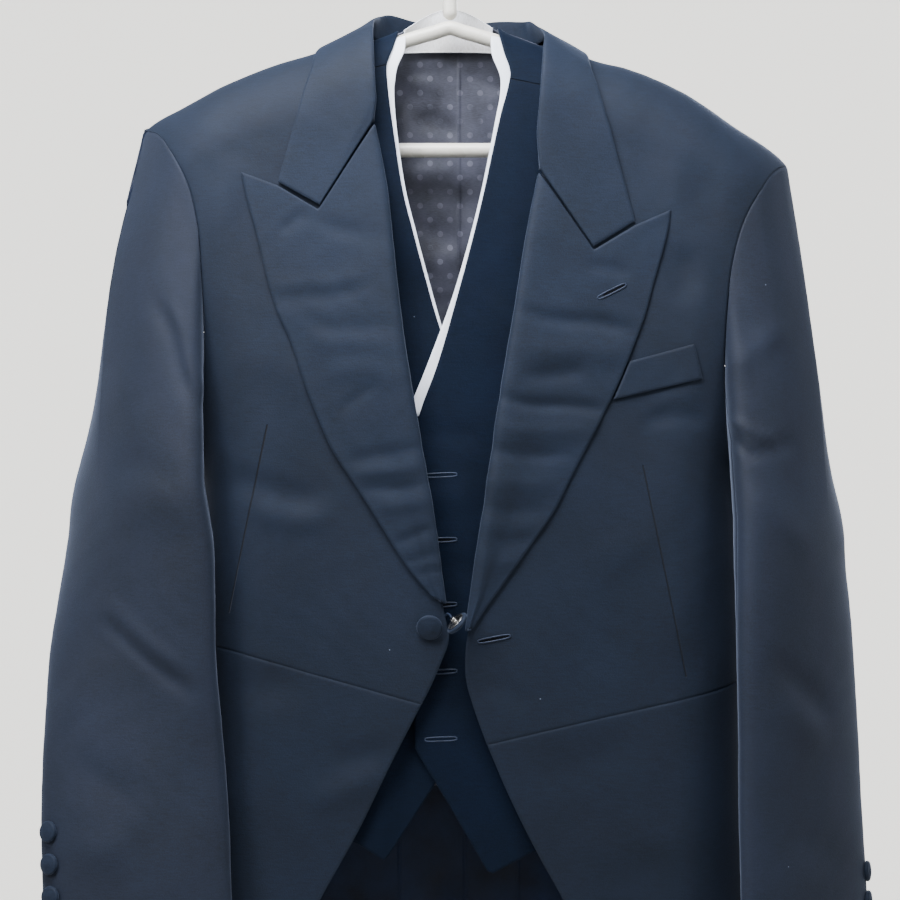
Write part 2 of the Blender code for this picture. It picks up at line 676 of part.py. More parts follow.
def collar():
    """One piece: the stand inside the neck, the fold and the fall, from gorge to gorge."""
    rows = [[collar_point(RIGHT, spec) for spec in row] for row in COLLAR[RIGHT][::-1]]
    rows += [[collar_point(LEFT, spec) for spec in row] for row in COLLAR[LEFT]]
    rows = np.array(rows)
    across = [0, 0.5, 0.9, 1.2, 1.6, 2, 2.5, 3]
    table = np.array([through([0, 1, 2, 3], row, across) for row in rows])
    for end in (0, -1):
        for axis in range(3):
            table[end, :, axis] = np.interp(across, [0, 1, 2, 3], rows[end][:, axis])
    return table


# The waistcoat

VEST_NECK = {
    # neckline and front edge from the shoulder, x and drop
    RIGHT: [(-40, 86.2), (-43.4, 100), (-47.7, 113.6), (-47.3, 126), (-44.5, 150), (-42, 168),
            (-34.9, 212), (-27.8, 240), (-21.5, 264), (-9.4, 307), (2, 340), (9, 375),
            (10, 460), (10, 540), (9, 622)],
    LEFT: [(37, 86.6), (40.8, 104), (45.3, 121), (42.8, 136), (38.9, 150), (33.2, 175),
           (25.9, 209), (19, 238), (4.8, 291.5), (-9.3, 340), (-22.9, 378), (-27, 400),
           (-27, 460), (-27, 540), (-26, 625)],
}
VEST_SIDE = {
    # the armhole's front, then the side seam; past the half width means on the seam
    RIGHT: [(-163, 129), (-152, 160), (-146, 210), (-150, 260), (-162, 305), (-179, 340),
            (-190, 360), (-190, 420), (-190, 540), (-190, 668)],
    LEFT: [(163, 132), (157, 164), (153, 214), (158, 264), (172, 309), (191, 344),
           (204, 364), (204, 424), (204, 544), (204, 680)],
}
VEST_HEM = {
    RIGHT: [(9, 622), (-12.6, 654), (-48.2, 709.6), (-69, 696), (-120, 680), (-186, 668)],
    LEFT: [(-26, 625), (0, 668), (29.6, 719.5), (60.6, 703), (120, 690), (200, 680)],
}
VEST_BACK_SIDE = {
    RIGHT: [(-163, 129), (-158, 170), (-154, 230), (-160, 290), (-178, 338), (-190, 360),
            (-190, 460), (-190, 560), (-190, 666)],
    LEFT: [(163, 132), (162, 174), (162, 234), (170, 294), (190, 342), (204, 364),
           (204, 464), (204, 564), (204, 678)],
}


def sunk(side, across, drop):
    """How far the wearer's right front and its slip lie back under the left front."""
    if side == LEFT:
        return 0.0 * across * drop
    return -4.2 * ease((62 - across) / 20) * ease((drop - 235) / 60)


VEST_ROWS = np.array([0, 0.006, 0.018, 0.045, 0.09, 0.16, 0.24, 0.33, 0.43, 0.53, 0.64, 0.76, 0.88, 1.0])


def vest_front(side):
    inner = rows_along(VEST, side, "front", VEST_NECK[side], VEST_ROWS)
    outer = rows_along(VEST, side, "front", VEST_SIDE[side], VEST_ROWS)
    outer[:, 0] -= SEAM_GAP
    hem = np.array(VEST_HEM[side], float)

    def bottom(girth, drop):
        x = surface(VEST, side, girth, drop)[..., 0]
        return np.interp(side * x, side * hem[:, 0], hem[:, 1])

    points = panel(VEST, side, inner, outer, 9, shoulder_line(VEST, side), bottom,
                   lambda girth, drop: sunk(side, girth, drop), fade=3)
    points[0, :, 1] = np.minimum(points[0, :, 1], -RIDGE_GAP / 2)
    return points


def vest_back(side):
    outer = rows_along(VEST, side, "back", VEST_BACK_SIDE[side], VEST_ROWS)
    outer[:, 0] += SEAM_GAP
    inner = rows_along(VEST, side, "back", [(7, 63), (7, 300), (7, 664)], VEST_ROWS)
    inner[:, 0] -= SEAM_GAP / 2
    points = panel(VEST, side, inner, outer, 8, shoulder_line(VEST, side), fade=5)
    points[0, :, 1] = np.maximum(points[0, :, 1], RIDGE_GAP / 2)
    return points


SLIP_SHOWN = {
    # how much shows past the neckline, by the share of its length from the shoulder
    RIGHT: ([0, 0.05, 0.11, 0.18, 0.28, 0.6, 1], [5, 9, 8, 5, 3.4, 3.0, 3.2]),
    LEFT: ([0, 0.05, 0.11, 0.18, 0.28, 0.55, 0.7, 0.85, 1], [5, 9, 8, 5, 3.4, 3.2, 4.6, 8.5, 10]),
}


def slip(side):
    """White band under the neckline: half of it shows."""
    rows = 15
    neck = np.array(VEST_NECK[side][:10 if side == RIGHT else 11], float)
    neck[0] = neck[0] * 0.8 + neck[1] * 0.2
    line = along(neck, shares(rows))
    shown = through(*SLIP_SHOWN[side], shares(rows))
    points = []
    for reach in (-9, -4, 0.8, shown):
        x = line[:, 0] - side * reach
        lift = -2.6 + sunk(side, side * (x - VEST["centre"]), line[:, 1])
        points.append(on_form(VEST, side, "front", x, line[:, 1], lift))
    return np.array(points).swapaxes(0, 1)


def slip_back():
    x = np.linspace(-36, 31, 13)
    rows = []
    for share in (0.0, 0.33, 0.67, 1.0):
        drop = (ridge_drop(VEST, x) - 1.4) * (1 - share) + 95 * share
        line = [on_form(VEST, RIGHT if at < 7 else LEFT, "back", at, deep, -3.8)
                for at, deep in zip(x, drop)]
        rows.append(line)
    return np.array(rows)


# Buttons, pocket and hanger

WELT = [
    # the two ends of the top, the middle and the bottom, x and drop
    ((132.5, 337.8), (180.3, 325)), ((126.6, 352), (183.4, 337.8)), ((120.3, 366.2), (186.2, 350.8)),
]


def welt():
    """The chest pocket's welt, lying on the left front."""
    t = np.linspace(0, 1, 6)[:, None]
    lines = [np.array(start) * (1 - t) + np.array(end) * t for start, end in WELT]
    return np.array([on_form(COAT, LEFT, "front", line[:, 0], line[:, 1], 2.5) for line in lines])


def button(name, radius, place, direction):
    """A cloth-covered button: a domed face over a flat back, turned."""
    profile = [(0, 4.6), (radius * 0.5, 4.2), (radius * 0.85, 3.1), (radius, 1.6),
               (radius * 0.94, 0.3), (radius * 0.8, 0.0), (0, 0.0)]
    return turned(name, profile, place, direction, NAVY_CLOTH, 12)


def sleeve_place(side, drop, angle):
    """Point and outward direction on the arm of a sleeve."""
    angle = math.radians(angle)
    at = oval(side, float(drop), np.array(angle))
    near = oval(side, float(drop), np.array(angle + 0.01)) - at
    down = oval(side, float(drop) + 5, np.array(angle)) - at
    normal = np.cross(near, down)
    normal /= np.linalg.norm(normal)
    middle = oval(side, float(drop), np.array([0.0, math.pi])).mean(axis=0)
    return at, normal * np.sign(normal @ (at - middle))


def tube(name, points, radius, finish, cyclic=False, ring=3):
    curve = bpy.data.curves.new(name, "CURVE")
    curve.dimensions = "3D"
    curve.bevel_depth = radius * MM
    curve.bevel_resolution = ring
    curve.use_fill_caps = True
    spline = curve.splines.new("POLY")
    spline.points.add(len(points) - 1)
    for point, place in zip(spline.points, points):
        point.co = (*(np.asarray(place) * MM), 1.0)
    spline.use_cyclic_u = cyclic
    curve.materials.append(finish)
    made = bpy.data.objects.new(name, curve)
    SUIT.objects.link(made)
    return made


TUBE = 5.5
BAR_DROP = 173.8
HANGER_REACH = 193


def hanger_loop():
    """Centre line of the hanger: two arms, rounded ends and a straight bar, one closed loop."""
    arm = np.linspace(24, HANGER_REACH, 9)
    x = np.concatenate([-arm[::-1], [-12, 0, 12], arm])
    arms = np.stack([x, 0 * x, -(hanger_drop(x) + TUBE * 1.06)], axis=-1)
    low = BAR_DROP
    ends = []
    for side in (LEFT, RIGHT):
        high = hanger_drop(side * HANGER_REACH) + TUBE * 1.06
        middle, radius = (high + low) / 2, (low - high) / 2
        turn = np.radians([60, 90, 120, 150, 180])
        reach = side * (HANGER_REACH + (radius + 1) * np.sin(turn))
        curve = np.stack([reach, 0 * turn, -(middle - radius * np.cos(turn))], axis=-1)
        ends.append(curve)
    bar = [(100, 0, -low), (0, 0, -low), (-100, 0, -low)]
    return np.vstack([arms, ends[0], bar, ends[1][::-1]])


def hook_line():
    """Stem and hook: the inside top of the hook is the origin."""
    radius = 24.0
    centre = radius - TUBE
    stem = [(0, 0, -hanger_drop(0) + 0.4), (0, 0, -66), (0, 0, -57), (1.5, 0, -51)]
    start = [(7, 0, -44), (14, 0, -38.5)]
    turn = np.radians(np.linspace(-40, 215, 13))
    bend = [(radius * math.cos(a), 0, radius * math.sin(a) - centre) for a in turn]
    return np.array(stem + start + bend)


def build():
    global SUIT, NAVY_CLOTH
    for made in list(bpy.data.objects):
        bpy.data.objects.remove(made)
    SUIT = collection("morning_suit")
    NAVY_CLOTH = material("navy_worsted", NAVY, 0.82)
    lapel_cloth = material("navy_barathea_facing", BARATHEA_LAPEL, 0.8)
    lining = material("grey_lining", LINING, 0.5)
    slip_cloth = material("white_cotton", WHITE_SLIP, 0.75)
    plastic = material("white_plastic", WHITE_PLASTIC, 0.35)
    nickel = material("nickel", NICKEL, 0.3, 1.0)

    for side, word in ((RIGHT, "right"), (LEFT, "left")):
        hub = (12, 0, -330)
        cloth(f"coat_front_{word}", front_panel(side), COAT_WALL, NAVY_CLOTH, hub)
        cloth(f"coat_side_{word}", side_body(side), COAT_WALL, NAVY_CLOTH, (12, 0, -450))
        cloth(f"coat_back_{word}", back_panel(side), COAT_WALL, NAVY_CLOTH, (12, 0, -500))
        cloth(f"coat_skirt_{word}", skirt_panel(side), COAT_WALL, NAVY_CLOTH, (12, 0, -800))
        top, under = sleeve_parts(side)
        middle = oval(side, 600.0, np.array([0.0, math.pi])).mean(axis=0)
        cloth(f"sleeve_top_{word}", top, COAT_WALL, NAVY_CLOTH, middle)
        cloth(f"sleeve_under_{word}", under, COAT_WALL, NAVY_CLOTH, middle)
        cloth(f"lapel_{word}", lapel(side), COAT_WALL, lapel_cloth, hub)
        cloth(f"waistcoat_front_{word}", vest_front(side), WAISTCOAT_WALL, NAVY_CLOTH, (7, 0, -350))
        cloth(f"waistcoat_back_{word}", vest_back(side), WAISTCOAT_WALL, lining, (7, 0, -350))
        cloth(f"slip_{word}", slip(side), SLIP_WALL, slip_cloth, (7, 0, -250))
        low = SLEEVE[side][-1][0]
        for number, above in enumerate((84, 61, 38) if side == RIGHT else (67, 45, 23)):
            at, normal = sleeve_place(side, low - above, 150)
            button(f"cuff_button_{word}_{number + 1}", 7.8, at + normal * 0.4, normal)
        x, drop = BACK_SEAM[side][-1]
        place = on_form(COAT, side, "back", x, drop - 2, 1.2)
        button(f"back_button_{word}", 9.5, place, place - on_form(COAT, side, "back", x, drop - 2))
    cloth("collar", collar(), COAT_WALL, NAVY_CLOTH, (6, 0, -120))
    cloth("slip_back", slip_back(), SLIP_WALL, slip_cloth, (7, 0, -90))

    cloth("chest_pocket_welt", welt(), COAT_WALL, NAVY_CLOTH, (12, 0, -330))

    at = on_form(COAT, RIGHT, "front", -14.6, 533, 2.9)
    button("link_button_outer", 9.7, at, (-0.12, -0.95, -0.29))
    back = np.array([4.3, -80.0, -528.0])
    turn = np.array([0.71, 0.25, -0.66])
    button("link_button_inner", 9.5, back, turn)
    shank = [(0, 3.8), (1.8, 3.8), (2.2, 2.8), (2.2, 1.0), (6.4, 0.7), (6.8, 0.0), (0, 0.0)]
    turned("link_shank", shank, back - turn * 0.4, -turn, nickel, 12)
    start = on_form(COAT, RIGHT, "front", -3.6, 525, 0.9)
    thread = [start, start + (0.9, -2.6, 1.2), (-0.9, -76.0, -522.6), (0.3, -80.0, -523.4), (1.0, -82.6, -524.6)]
    tube("link_thread", thread, 0.7, NAVY_CLOTH, ring=1)

    tube("hanger", hanger_loop(), TUBE, plastic, cyclic=True)
    tube("hanger_hook", hook_line(), TUBE, plastic)


build()
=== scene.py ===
# %% [markdown]
# # A morning suit on its hanger
# A cutaway morning coat hangs over a waistcoat with a white slip. Every part of it is cloth, so
# every part is made here in one way: a grid of points is worked out with numpy from a few real
# sizes, small creases are added along its normals, and a Solidify modifier gives it a wall.
# The frame is the hanger's. X runs to the wearer's left, -Y is the front and +Z is up. Tables are
# in millimetres, and a "drop" is a distance below the hook's inside top.

# %% Load the frame
import math

import bmesh
import bpy
import numpy as np
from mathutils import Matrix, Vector


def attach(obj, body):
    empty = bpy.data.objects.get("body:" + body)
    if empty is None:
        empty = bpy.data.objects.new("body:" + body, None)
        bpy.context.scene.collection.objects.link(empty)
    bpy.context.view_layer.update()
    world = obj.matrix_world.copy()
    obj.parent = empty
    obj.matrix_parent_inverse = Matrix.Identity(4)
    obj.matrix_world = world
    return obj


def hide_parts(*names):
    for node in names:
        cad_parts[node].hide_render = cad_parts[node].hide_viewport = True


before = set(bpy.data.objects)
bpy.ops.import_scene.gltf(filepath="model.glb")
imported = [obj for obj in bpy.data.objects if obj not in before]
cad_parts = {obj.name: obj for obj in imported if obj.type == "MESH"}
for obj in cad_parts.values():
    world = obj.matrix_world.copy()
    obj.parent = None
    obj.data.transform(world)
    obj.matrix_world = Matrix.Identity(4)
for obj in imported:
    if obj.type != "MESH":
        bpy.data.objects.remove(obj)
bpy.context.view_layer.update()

MM = 0.001
RIGHT, LEFT = -1, 1
WORD = {RIGHT: "right", LEFT: "left"}

# %% [markdown]
# Tailors draft a pattern as points joined by fair curves. `through` does the same for a table: its
# rows are joined by Hermite spans whose slopes are the mean of the two chords that meet there.
# `along` walks a drawn line by its length, and `ease` is a soft step.

# %% Fair curves
def through(knots, values, at):
    """Hermite curve through a table: on a span of width w, with t from 0 to 1, it is
    (1+2t)(1-t)^2 a + t(1-t)^2 w slope_a + t^2(3-2t) b + t^2(t-1) w slope_b."""
    knots = np.asarray(knots, float)
    values = np.asarray(values, float)
    if values.ndim == 1:
        return through(knots, values[:, None], at)[..., 0]
    at = np.clip(np.asarray(at, float), knots[0], knots[-1])
    width = np.diff(knots)
    chord = np.diff(values, axis=0) / width[:, None]
    slope = np.vstack([chord[:1], (chord[1:] + chord[:-1]) / 2, chord[-1:]])
    span = np.clip(np.searchsorted(knots, at, side="right") - 1, 0, len(knots) - 2)
    t = ((at - knots[span]) / width[span])[..., None]
    w = width[span][..., None]
    return (
        (1 + 2 * t) * (1 - t) ** 2 * values[span]
        + t * (1 - t) ** 2 * w * slope[span]
        + t * t * (3 - 2 * t) * values[span + 1]
        + t * t * (t - 1) * w * slope[span + 1]
    )


def along(points, shares):
    """Points at these shares of a drawn line's length."""
    points = np.asarray(points, float)
    steps = np.linalg.norm(np.diff(points, axis=0), axis=1)
    length = np.concatenate([[0.0], np.cumsum(steps)])
    return through(length / length[-1], points, shares)


def ease(x):
    """x^2 (3 - 2x) between 0 and 1."""
    x = np.clip(x, 0.0, 1.0)
    return x * x * (3 - 2 * x)


EDGE_STEPS = np.array([0.3, 0.8, 1.5, 2.5])


def round_angles(steps):
    """Even angles once round a circle."""
    return np.linspace(0, 2 * math.pi, steps, endpoint=False)


def spread(start, end, count, length, both=True, first=True):
    """Even steps from start to end, with closer ones within 2.5 mm of the cloth's edges."""
    near = EDGE_STEPS * (end - start) / length
    parts = [np.linspace(start, end, count + 1)]
    if first:
        parts.append(start + near)
    if both:
        parts.append(end - near)
    return np.unique(np.round(np.concatenate(parts), 6))


print("fair curves ready")

# %% [markdown]
# The coat and the waistcoat each hang in a form, as on a tailor's dummy. A level section of a form
# is a stadium: a slightly crowned front and back joined by two quarter rounds. A point on it is
# named by its girth, the way round from the centre front, and its drop. Near the shoulder line the
# depth closes like a quarter ellipse, and the back neck stays open.

# %% The two forms
COAT = dict(
    # drop, half width, front depth, back depth
    rows=[
        (60, 249, 40, 50), (150, 249, 46, 50), (250, 239, 54, 54), (330, 219, 60, 57),
        (420, 204, 63, 57), (500, 205, 62, 50), (560, 206, 60, 45), (640, 208, 57, 46),
        (736, 213, 52, 47), (900, 221, 45, 46), (1125, 226, 37, 42),
    ],
    centre=15.5,
    # x and drop of the shoulder line
    ridge=[
        (-262, 176), (-240, 164), (-225.6, 153.2), (-201, 140.2), (-172.8, 124.9),
        (-135, 109.6), (-102.5, 99.6), (-85, 92.5), (-66, 86), (-40, 88), (6, 92),
        (52, 90), (72, 89.5), (85, 94.5), (109, 104.8), (136, 112), (176, 129.4),
        (215, 155.4), (250, 178.4), (262, 190), (275, 198),
    ],
    corner=60,
    crown=0.12,
    shoulder_roll=55,
    neck=(6, 70),
)
HANGER_ARM = [
    (0, 74.5), (30, 83), (60, 92.8), (100, 107), (135, 120.4), (165, 131.6), (195, 146), (215, 157),
]


def hanger_drop(x):
    """Drop of the top of the hanger's arms."""
    arm = np.array(HANGER_ARM, float)
    return through(arm[:, 0], arm[:, 1], np.abs(x))


CLEAR = 1.9
VEST = dict(
    rows=[
        (60, 193, 26, 25), (110, 193, 28, 26), (150, 192, 34, 27), (200, 191, 40, 29),
        (300, 189, 47, 32), (400, 188, 51, 32), (500, 186, 51, 30), (600, 187, 49, 28),
        (760, 191, 44, 26),
    ],
    centre=7,
    ridge=[(x, hanger_drop(x) - CLEAR) for x in (-200, -160, -130, -100, -70)]
    + [(-55, 88.7), (-43, 84), (-34, 78), (-24, 71), (-12, 65), (0, 62.5), (12, 65), (24, 71),
       (34, 78), (43, 84), (55, 88.7)]
    + [(x, hanger_drop(x) - CLEAR) for x in (70, 100, 130, 160, 215)],
    corner=48,
    crown=0.12,
    shoulder_roll=45,
    neck=(0, 43),
)


def girths(form, drop):
    """Half width, depths, and the lengths of the flat and of the two quarter rounds."""
    rows = np.array(form["rows"], float)
    half, front, back = np.moveaxis(through(rows[:, 0], rows[:, 1:], drop), -1, 0)
    flat = half - form["corner"]
    quarter_front = math.pi / 4 * (form["corner"] + front)
    quarter_back = math.pi / 4 * (form["corner"] + back)
    return half, front, back, flat, quarter_front, quarter_back


def girth_at(form, side, face, x, drop):
    """Girth from the centre front of the point at x on the front or the back face."""
    x = side * (np.asarray(x, float) - form["centre"])
    flat, quarter_front, quarter_back = girths(form, drop)[3:]
    turn = np.clip((x - flat) / form["corner"], 0.0, 1.0)
    if face == "front":
        return np.where(x <= flat, x, flat + quarter_front * np.arcsin(turn) * 2 / math.pi)
    rear = flat + quarter_front + quarter_back
    return np.where(x <= flat, rear + flat - x, rear - quarter_back * np.arcsin(turn) * 2 / math.pi)


def surface(form, side, girth, drop):
    """x is the girth on the flats and corner * sin(turn) past them; y is the depth times a crown
    of 1 - c (1 - cos(pi x / flat)) / 2; both close towards the shoulder as sqrt(1 - (1 - s)^2)."""
    girth, drop = np.broadcast_arrays(np.asarray(girth, float), np.asarray(drop, float))
    half, front, back, flat, quarter_front, quarter_back = girths(form, drop)
    corner, crown = form["corner"], form["crown"]
    rear = flat + quarter_front + quarter_back
    turn_front = np.clip((girth - flat) / quarter_front, 0, 1) * math.pi / 2
    turn_back = np.clip((girth - flat - quarter_front) / quarter_back, 0, 1) * math.pi / 2
    x = np.where(girth <= flat, girth, flat + corner * np.sin(turn_front))
    x = np.where(girth > flat + quarter_front, flat + corner * np.cos(turn_back), x)
    x = np.where(girth > rear, rear + flat - girth, x)
    level = 1 - crown * (1 - np.cos(math.pi * np.clip(np.abs(x) / flat, 0, 1))) / 2
    y = np.where(girth <= flat + quarter_front, -front * level * np.cos(turn_front),
                 back * level * np.where(girth > rear, 1.0, np.sin(turn_back)))
    x = form["centre"] + side * x
    ridge = np.array(form["ridge"], float)
    below = np.clip((drop - through(ridge[:, 0], ridge[:, 1], x)) / form["shoulder_roll"], 0, 1)
    closing = 1 - (1 - below) ** 2
    centre, reach = form["neck"]
    neck = np.clip(1 - ((x - centre) / reach) ** 2, 0, 1)
    y = y * np.sqrt(np.where(y > 0, closing + (1 - closing) * neck, closing))
    return np.stack([x, y, -drop], axis=-1)


def outward(form, side, girth, drop):
    """Unit normals of a form: the cross product of its steps across and down."""
    step = 1.5
    across = surface(form, side, girth + step, drop) - surface(form, side, girth - step, drop)
    down = surface(form, side, girth, drop + step) - surface(form, side, girth, drop - step)
    normal = np.cross(across, down) * -side
    return normal / np.maximum(np.linalg.norm(normal, axis=-1, keepdims=True), 1e-9)


def on_form(form, side, face, x, drop, out=0.0):
    """Points on the front or the back face of a form, moved out by some millimetres."""
    x, drop = np.broadcast_arrays(np.asarray(x, float), np.asarray(drop, float))
    girth = girth_at(form, side, face, x, drop)
    point = surface(form, side, girth, drop)
    return point + np.asarray(out)[..., None] * outward(form, side, girth, drop)


def ridge_drop(form, x):
    ridge = np.array(form["ridge"], float)
    return through(ridge[:, 0], ridge[:, 1], x)


print("coat is", 2 * COAT["rows"][4][1], "mm wide at the chest")

# %% [markdown]
# Worn wool never hangs quite flat. Each crease here is one row: where it starts and ends, how wide
# it is and how far it stands out (+, a ridge) or in (-, a trough). Across its line a crease is a
# Gaussian, and it fades out past both ends. The places are read off the photograph; the hidden
# sides get similar ones.

# %% Creases
COAT_CREASES = [
    # front: x and drop of the start and the end, width, height
    (-162, 427, -97, 433, 11, -1.6), (-144, 447, -91, 453, 10, 1.5),
    (-159, 574, -109, 577, 14, -1.6), (-85, 627, -44, 630, 10, -1.5), (-97, 659, -50, 647, 10, 1.8),
    (-176, 250, -158, 190, 12, 1.4), (165, 183, 188, 271, 13, 1.8), (170, 258, 176, 290, 12, -2.0),
    (150, 369, 180, 363, 5, 0.8), (146, 380, 190, 383, 6, -1.4), (110, 480, 150, 470, 16, 1.0),
    (60, 640, 130, 625, 18, -1.4), (90, 700, 170, 690, 20, 1.6), (-150, 330, -110, 350, 16, 1.0),
    (-178, 480, -150, 640, 20, -1.8), (186, 470, 178, 640, 20, -1.8),
    (-140, 740, -180, 1000, 26, 3.2), (150, 760, 190, 1010, 26, 3.2),
    (-190, 760, -200, 1060, 20, -3.0), (200, 760, 212, 1070, 20, -3.0),
    (-120, 240, -90, 200, 18, -0.8), (60, 590, 20, 575, 9, -0.9),
]
BACK_CREASES = [
    (-150, 190, -60, 180, 16, -1.6), (-140, 215, -40, 205, 15, 1.4), (70, 200, 170, 215, 16, -1.6),
    (-10, 160, 40, 158, 12, 1.2), (-90, 300, -40, 420, 18, 1.6), (100, 310, 60, 430, 18, 1.6),
    (-130, 500, -60, 520, 12, -1.6), (70, 510, 150, 500, 12, -1.6), (-60, 535, 70, 545, 10, -1.0),
    (-150, 760, -150, 1040, 22, 3.0), (170, 760, 172, 1060, 22, 3.0),
    (-16, 700, -20, 1080, 14, 1.8), (38, 720, 40, 1080, 14, 1.8), (12, 600, 12, 1100, 7, -1.0),
]
SLEEVE_CREASES = [
    (-221, 296, -187, 372, 7, -2.2), (-212, 300, -184, 362, 6, 1.6),
    (-256, 534, -191, 582, 6, -2.4), (-262, 520, -200, 566, 9, 1.6),
    (-244, 418, -190, 427, 12, -1.6), (-274, 695, -238, 697, 14, 1.6),
    (-270, 640, -230, 660, 16, -1.8), (-285, 600, -262, 560, 12, 1.4),
    (-250, 350, -225, 400, 14, 1.2), (206, 344, 244, 312, 9, 2.0), (209, 382, 240, 400, 4, 2.0),
    (210, 396, 224, 410, 4, -2.0), (222, 411, 256, 399, 5, -1.8), (226, 440, 262, 470, 12, 1.4),
    (240, 560, 285, 600, 10, -2.2), (236, 585, 280, 620, 11, 1.4), (250, 690, 290, 700, 16, -1.6),
    (216, 300, 224, 340, 8, -1.4),
]
SLEEVE_BACK_CREASES = [
    (-280, 520, -230, 560, 10, -2.6), (-284, 560, -226, 570, 9, -2.2),
    (-275, 600, -235, 590, 12, 1.8), (-240, 300, -215, 380, 14, 1.6),
    (270, 540, 230, 580, 10, -2.6), (290, 585, 240, 592, 9, -2.2), (250, 310, 240, 400, 14, 1.6),
    (240, 680, 290, 690, 16, 1.6), (-280, 690, -240, 700, 16, 1.6),
]
LAPEL_CREASES = [
    (-132, 290, -65, 283, 7, -0.8), (-125, 280, -66, 274, 6, 0.5), (-103, 306, -44, 318, 7, -0.7),
    (-100, 318, -48, 330, 8, 0.6), (-79, 371, -56, 359, 6, -0.8), (-68, 412, -21, 403, 5, -1.1),
    (-65, 422, -22, 417, 4, 0.9), (-62, 433, -18, 431, 5, -1.4), (-50, 446, -14, 444, 5, 0.8),
    (-38, 472, -12, 465, 4, -1.0), (-37, 488, -10, 484, 3, -0.7), (-29, 499, -9, 496, 3, -0.7),
    (-121, 238, -103, 226, 5, -0.8), (-94, 232, -50, 247, 7, -0.9), (-90, 340, -40, 352, 9, 0.8),
    (53, 300, 129, 312, 6, -1.8), (53, 325, 129, 331, 9, 1.3), (56, 345, 97, 345, 7, -1.4),
    (41, 365, 109, 371, 5, -1.9), (37, 386, 103, 388, 7, 1.2), (32, 403, 88, 406, 6, -1.5),
    (31, 425, 81, 427, 8, 1.2), (29, 447, 71, 446, 7, -1.1), (103, 265, 129, 271, 6, -1.0),
    (26, 470, 58, 468, 6, -0.8), (22, 486, 46, 484, 6, 0.7), (80, 250, 70, 290, 12, -0.9),
]
VEST_CREASES = [
    (-26, 392, 20, 398, 9, -0.8), (-26, 445, 24, 440, 10, 0.8), (-24, 495, 30, 492, 9, -0.9),
    (-20, 545, 30, 540, 9, 0.8), (-20, 592, 20, 596, 9, -0.8), (30, 300, 60, 330, 14, 1.0),
    (-60, 300, -40, 340, 14, 1.0), (30, 640, 60, 690, 14, 1.0), (-70, 650, -40, 690, 12, 1.0),
    (120, 420, 170, 430, 16, 1.2), (-160, 420, -110, 430, 16, 1.2),
]
VEST_BACK_CREASES = [
    (-36, 118, -14, 126, 7, -1.2), (14, 112, 36, 122, 7, 1.0), (-30, 150, 2, 158, 8, 1.4),
    (-38, 196, 6, 190, 7, -1.4), (8, 206, 34, 222, 8, 1.3), (-28, 232, 2, 240, 8, 1.3),
    (-24, 262, 10, 254, 7, -1.3), (-14, 290, 12, 296, 8, 1.2), (-40, 140, -34, 190, 7, -1.4),
    (30, 150, 33, 196, 7, 1.4), (-100, 260, -60, 400, 22, 1.8), (80, 260, 60, 420, 22, 1.8),
    (-140, 480, -60, 500, 14, -1.6), (60, 490, 150, 480, 14, -1.6), (-30, 470, 40, 476, 14, 1.2),
]


def creases(table, x, drop):
    """Sum over rows of height * exp(-(across / width)^2), eased in and out along each line. The
    lines wander by a few millimetres, as sums of slow sines, so that none is straight."""
    sway = 3.0 * np.sin(drop / 31 + 0.7) + 2.0 * np.sin(drop / 13.7 + x / 41)
    bob = 3.2 * np.sin(x / 34 + 1.9) + 1.7 * np.sin(x / 12.3 + drop / 57)
    x = x + sway
    drop = drop + bob
    total = np.zeros_like(x)
    for x0, drop0, x1, drop1, width, height in table:
        length = math.hypot(x1 - x0, drop1 - drop0)
        ahead = ((x1 - x0) / length, (drop1 - drop0) / length)
        down_line = (x - x0) * ahead[0] + (drop - drop0) * ahead[1]
        across = (drop - drop0) * ahead[0] - (x - x0) * ahead[1]
        soft = 0.35 * length + width
        ends = ease(down_line / soft + 0.5) * ease((length - down_line) / soft + 0.5)
        total += height * ends * np.exp(-((across / width) ** 2))
    return total


def billow(x, drop, size):
    """Slow, low swells: four sines whose lengths share no common measure."""
    return size * (
        0.4 * np.sin(x / 39 + drop / 71 + 0.4)
        + 0.3 * np.sin(drop / 33 - x / 58 + 2.1)
        + 0.2 * np.sin(x / 21 - drop / 29 + 4.4)
        + 0.1 * np.sin(x / 12 + drop / 17 + 1.3)
    )


def hand(x, drop, size=0.12):
    """The small unevenness of pressed wool over its canvas, a tenth of a millimetre high."""
    across = np.sin(x / 5.3 + 3 * np.sin(drop / 19))
    return size * (across * np.sin(drop / 6.1 + 2 * np.sin(x / 23)))


print(len(COAT_CREASES + BACK_CREASES), "creases on the coat,", len(LAPEL_CREASES), "on the lapels")

# %% [markdown]
# Materials come next, and one small function adds a node with its settings and links. Colours are
# written as the hex values read, and turned linear once.

# %% Colours and nodes
def linear(code):
    """An sRGB hex colour as linear RGBA."""
    parts = np.array([int(code[i:i + 2], 16) for i in (1, 3, 5)]) / 255
    parts = np.where(parts <= 0.04045, parts / 12.92, ((parts + 0.055) / 1.055) ** 2.4)
    return (*(float(p) for p in parts), 1.0)


def add(tree, kind, links=None, **settings):
    """Adds a node. Links are its inputs by name or number: a socket is linked, a value is set."""
    node = tree.nodes.new("ShaderNode" + kind)
    for name, value in settings.items():
        setattr(node, name, value)
    for key, value in (links or {}).items():
        if isinstance(value, bpy.types.NodeSocket):
            tree.links.new(value, node.inputs[key])
        else:
            node.inputs[key].default_value = value
    return node


def maths(tree, operation, *values, **settings):
    """Output of a Math node. Each value is a socket or a number."""
    links = dict(enumerate(values))
    return add(tree, "Math", links, operation=operation, **settings).outputs[0]


def remap(tree, value, low, high, start=0.0, end=1.0, step="LINEAR"):
    """A value from low to high, moved to run from start to end."""
    links = {0: value, 1: low, 2: high, 3: start, 4: end}
    return add(tree, "MapRange", links, interpolation_type=step).outputs[0]


